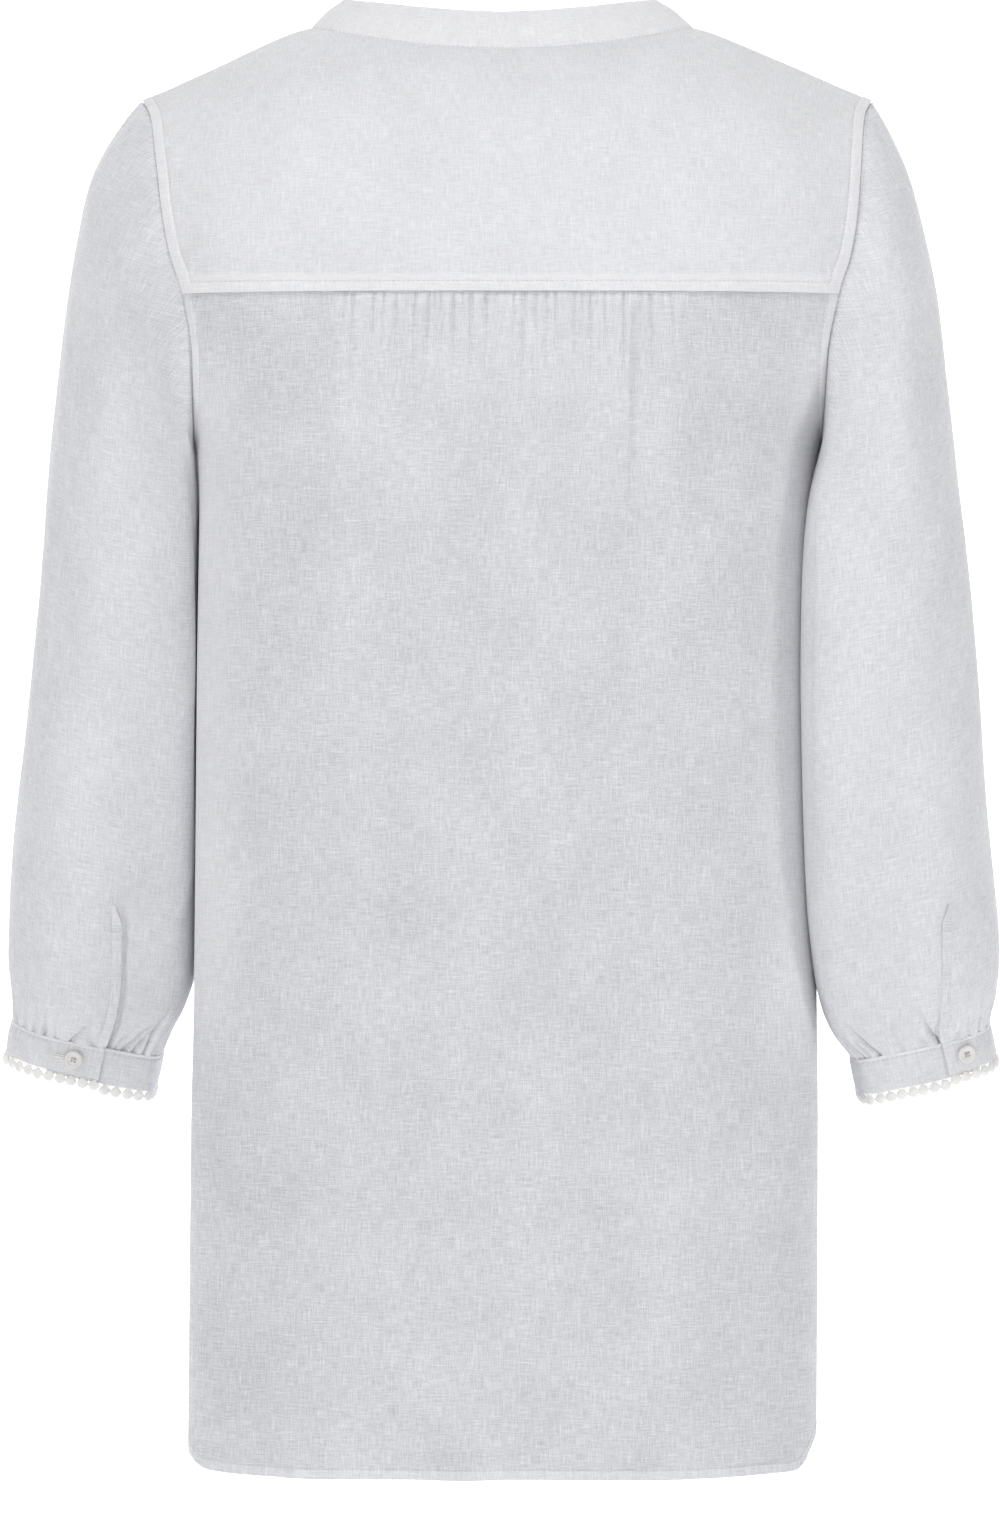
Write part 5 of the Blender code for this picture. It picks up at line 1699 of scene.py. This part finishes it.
def picot(width, long):
    """One picot: a puffed, rounded lozenge with slanting ridges.

    Its outline is |x| to a power + |y| to that power = 1, its rings shrink by the sine of an
    angle as the height goes by its cosine, and its ridges are a sine across the slant.
    """
    a = np.linspace(0, math.pi, PICOT_RINGS)[:, None]
    b = np.linspace(0, 2 * math.pi, PICOT_SIDES + 1)[:-1]
    c, s = np.cos(b), np.sin(b)
    power = PICOT_ROUNDNESS
    reach = (np.abs(c) ** power + np.abs(s) ** power) ** (-1 / power)
    level = np.sin(a)
    x, y = level * reach * c * width / 2, level * reach * s * long / 2
    ridge = 1 + 0.12 * np.sin((x + y) / 0.0011 * 2 * math.pi / 1.2)
    z = np.cos(a) * PICOT_PUFF * ridge
    spots = np.stack(np.broadcast_arrays(x, y, z), axis=-1)
    index = np.arange(PICOT_RINGS * PICOT_SIDES).reshape(PICOT_RINGS, PICOT_SIDES)
    turned = np.roll(index, -1, axis=1)
    faces = np.stack([index[:-1], index[1:], turned[1:], turned[:-1]], axis=-1).reshape(-1, 4)
    return spots.reshape(-1, 3), faces


# The studio, in metres: the sweep's floor and wall, the lamps and the camera
FLOOR = -1.02
WALL = -3.2
SWEEP_BEND = 1.4
LAMPS = table(
    "x y z size power at_y",
    (0.2, 6.5, 0.4, 2.0, 54, 0),
    (4.0, 3.6, 1.7, 1.3, 35, 0),
    (-4.4, 3.6, 1.0, 1.8, 54, 0),
    (0.4, 1.6, 3.2, 2.2, 66, 0),
    (2.6, -2.2, 1.4, 1.8, 14, 0),
    (-2.6, -2.2, 1.4, 1.8, 14, 0),
    (1.5, -1.3, 0.3, 1.6, 62, WALL),
    (-1.5, -1.3, 0.3, 1.6, 62, WALL),
)
TUNIC_MIDDLE = np.array([0, 0, -0.42])
CAMERA_PLACE = (0.0012, 6.0, -0.4401)
CAMERA_LENS = 235.8  # millimetres, on a sensor 36 mm wide


class TUNIC_OT_stage(bpy.types.Operator):
    """Makes the white sweep of floor and backdrop, the soft lights and the camera"""

    bl_idname = "tunic.stage"
    bl_label = "Stage"

    def execute(self, context):
        scene = context.scene
        turn = np.linspace(0, math.pi / 2, 24)
        y = np.concatenate([[9], WALL + SWEEP_BEND - SWEEP_BEND * np.sin(turn), [WALL]])
        z = np.concatenate([[FLOOR], FLOOR + SWEEP_BEND - SWEEP_BEND * np.cos(turn), [FLOOR + 5]])
        x = np.linspace(-6, 6, 13)
        points = np.stack(np.broadcast_arrays(x, y[:, None], z[:, None]), axis=-1)
        mesh_piece = grid_object("studio_sweep", points, "paper")
        for number, (x, y, z, size, power, at_y) in enumerate(zip(*LAMPS.values())):
            target = np.array([x, at_y, z - 0.6]) if at_y else TUNIC_MIDDLE
            lamp = bpy.data.lights.new(f"softbox_{number}", "AREA")
            lamp.shape = "DISK"
            lamp.size = size
            lamp.energy = power
            made = bpy.data.objects.new(lamp.name, lamp)
            made.location = (x, y, z)
            made.rotation_mode = "QUATERNION"
            made.rotation_quaternion = looking(target - np.array([x, y, z]))
            scene.collection.objects.link(made)
        world = bpy.data.worlds.new("studio_air")
        world.use_nodes = True
        sky = world.node_tree.nodes["Background"]
        sky.inputs["Color"].default_value = linear("#FFFFFF")
        sky.inputs["Strength"].default_value = 0.20
        scene.world = world
        scene.view_settings.view_transform = "Standard"
        lens = bpy.data.cameras.new("photo_camera")
        lens.lens = CAMERA_LENS
        lens.sensor_width = 36
        lens.clip_end = 40
        camera = bpy.data.objects.new("photo_camera", lens)
        camera.location = CAMERA_PLACE
        camera.rotation_euler = (math.pi / 2, 0, math.pi)
        scene.collection.objects.link(camera)
        scene.camera = camera
        return {"FINISHED"}


def looking(way):
    """The rotation that points a lamp along a direction."""
    return Vector(way).to_track_quat("-Z", "Y")


class TUNIC_PT_panel(bpy.types.Panel):
    """Lists the tunic's pieces, sizes and colours"""

    bl_idname = "TUNIC_PT_panel"
    bl_label = "Linen tunic top"
    bl_space_type = "VIEW_3D"
    bl_region_type = "UI"
    bl_category = "Tunic"

    def draw(self, context):
        column = self.layout.column(align=True)
        for operator in OPERATORS:
            column.operator(operator.bl_idname)
        for group in (context.scene.tunic_sizes, context.scene.tunic_colours):
            box = self.layout.box()
            for name in group.__annotations__:
                box.prop(group, name)


OPERATORS = (
    TUNIC_OT_stage,
    TUNIC_OT_yoke,
    TUNIC_OT_back,
    TUNIC_OT_front,
    TUNIC_OT_neckband,
    TUNIC_OT_plackets,
    TUNIC_OT_sleeves,
    TUNIC_OT_cuffs,
    TUNIC_OT_edging,
    TUNIC_OT_buttons,
)


def register():
    """Registers the settings, the operators and the panel."""
    for item in (TunicSizes, TunicColours, *OPERATORS, TUNIC_PT_panel):
        bpy.utils.register_class(item)
    bpy.types.Scene.tunic_sizes = bpy.props.PointerProperty(type=TunicSizes)
    bpy.types.Scene.tunic_colours = bpy.props.PointerProperty(type=TunicColours)


def unregister():
    """Takes back what register did."""
    del bpy.types.Scene.tunic_sizes
    del bpy.types.Scene.tunic_colours
    for item in reversed((TunicSizes, TunicColours, *OPERATORS, TUNIC_PT_panel)):
        bpy.utils.unregister_class(item)


def main():
    register()
    for operator in OPERATORS:
        module, name = operator.bl_idname.split(".")
        getattr(getattr(bpy.ops, module), name)()


if __name__ == "__main__":
    main()
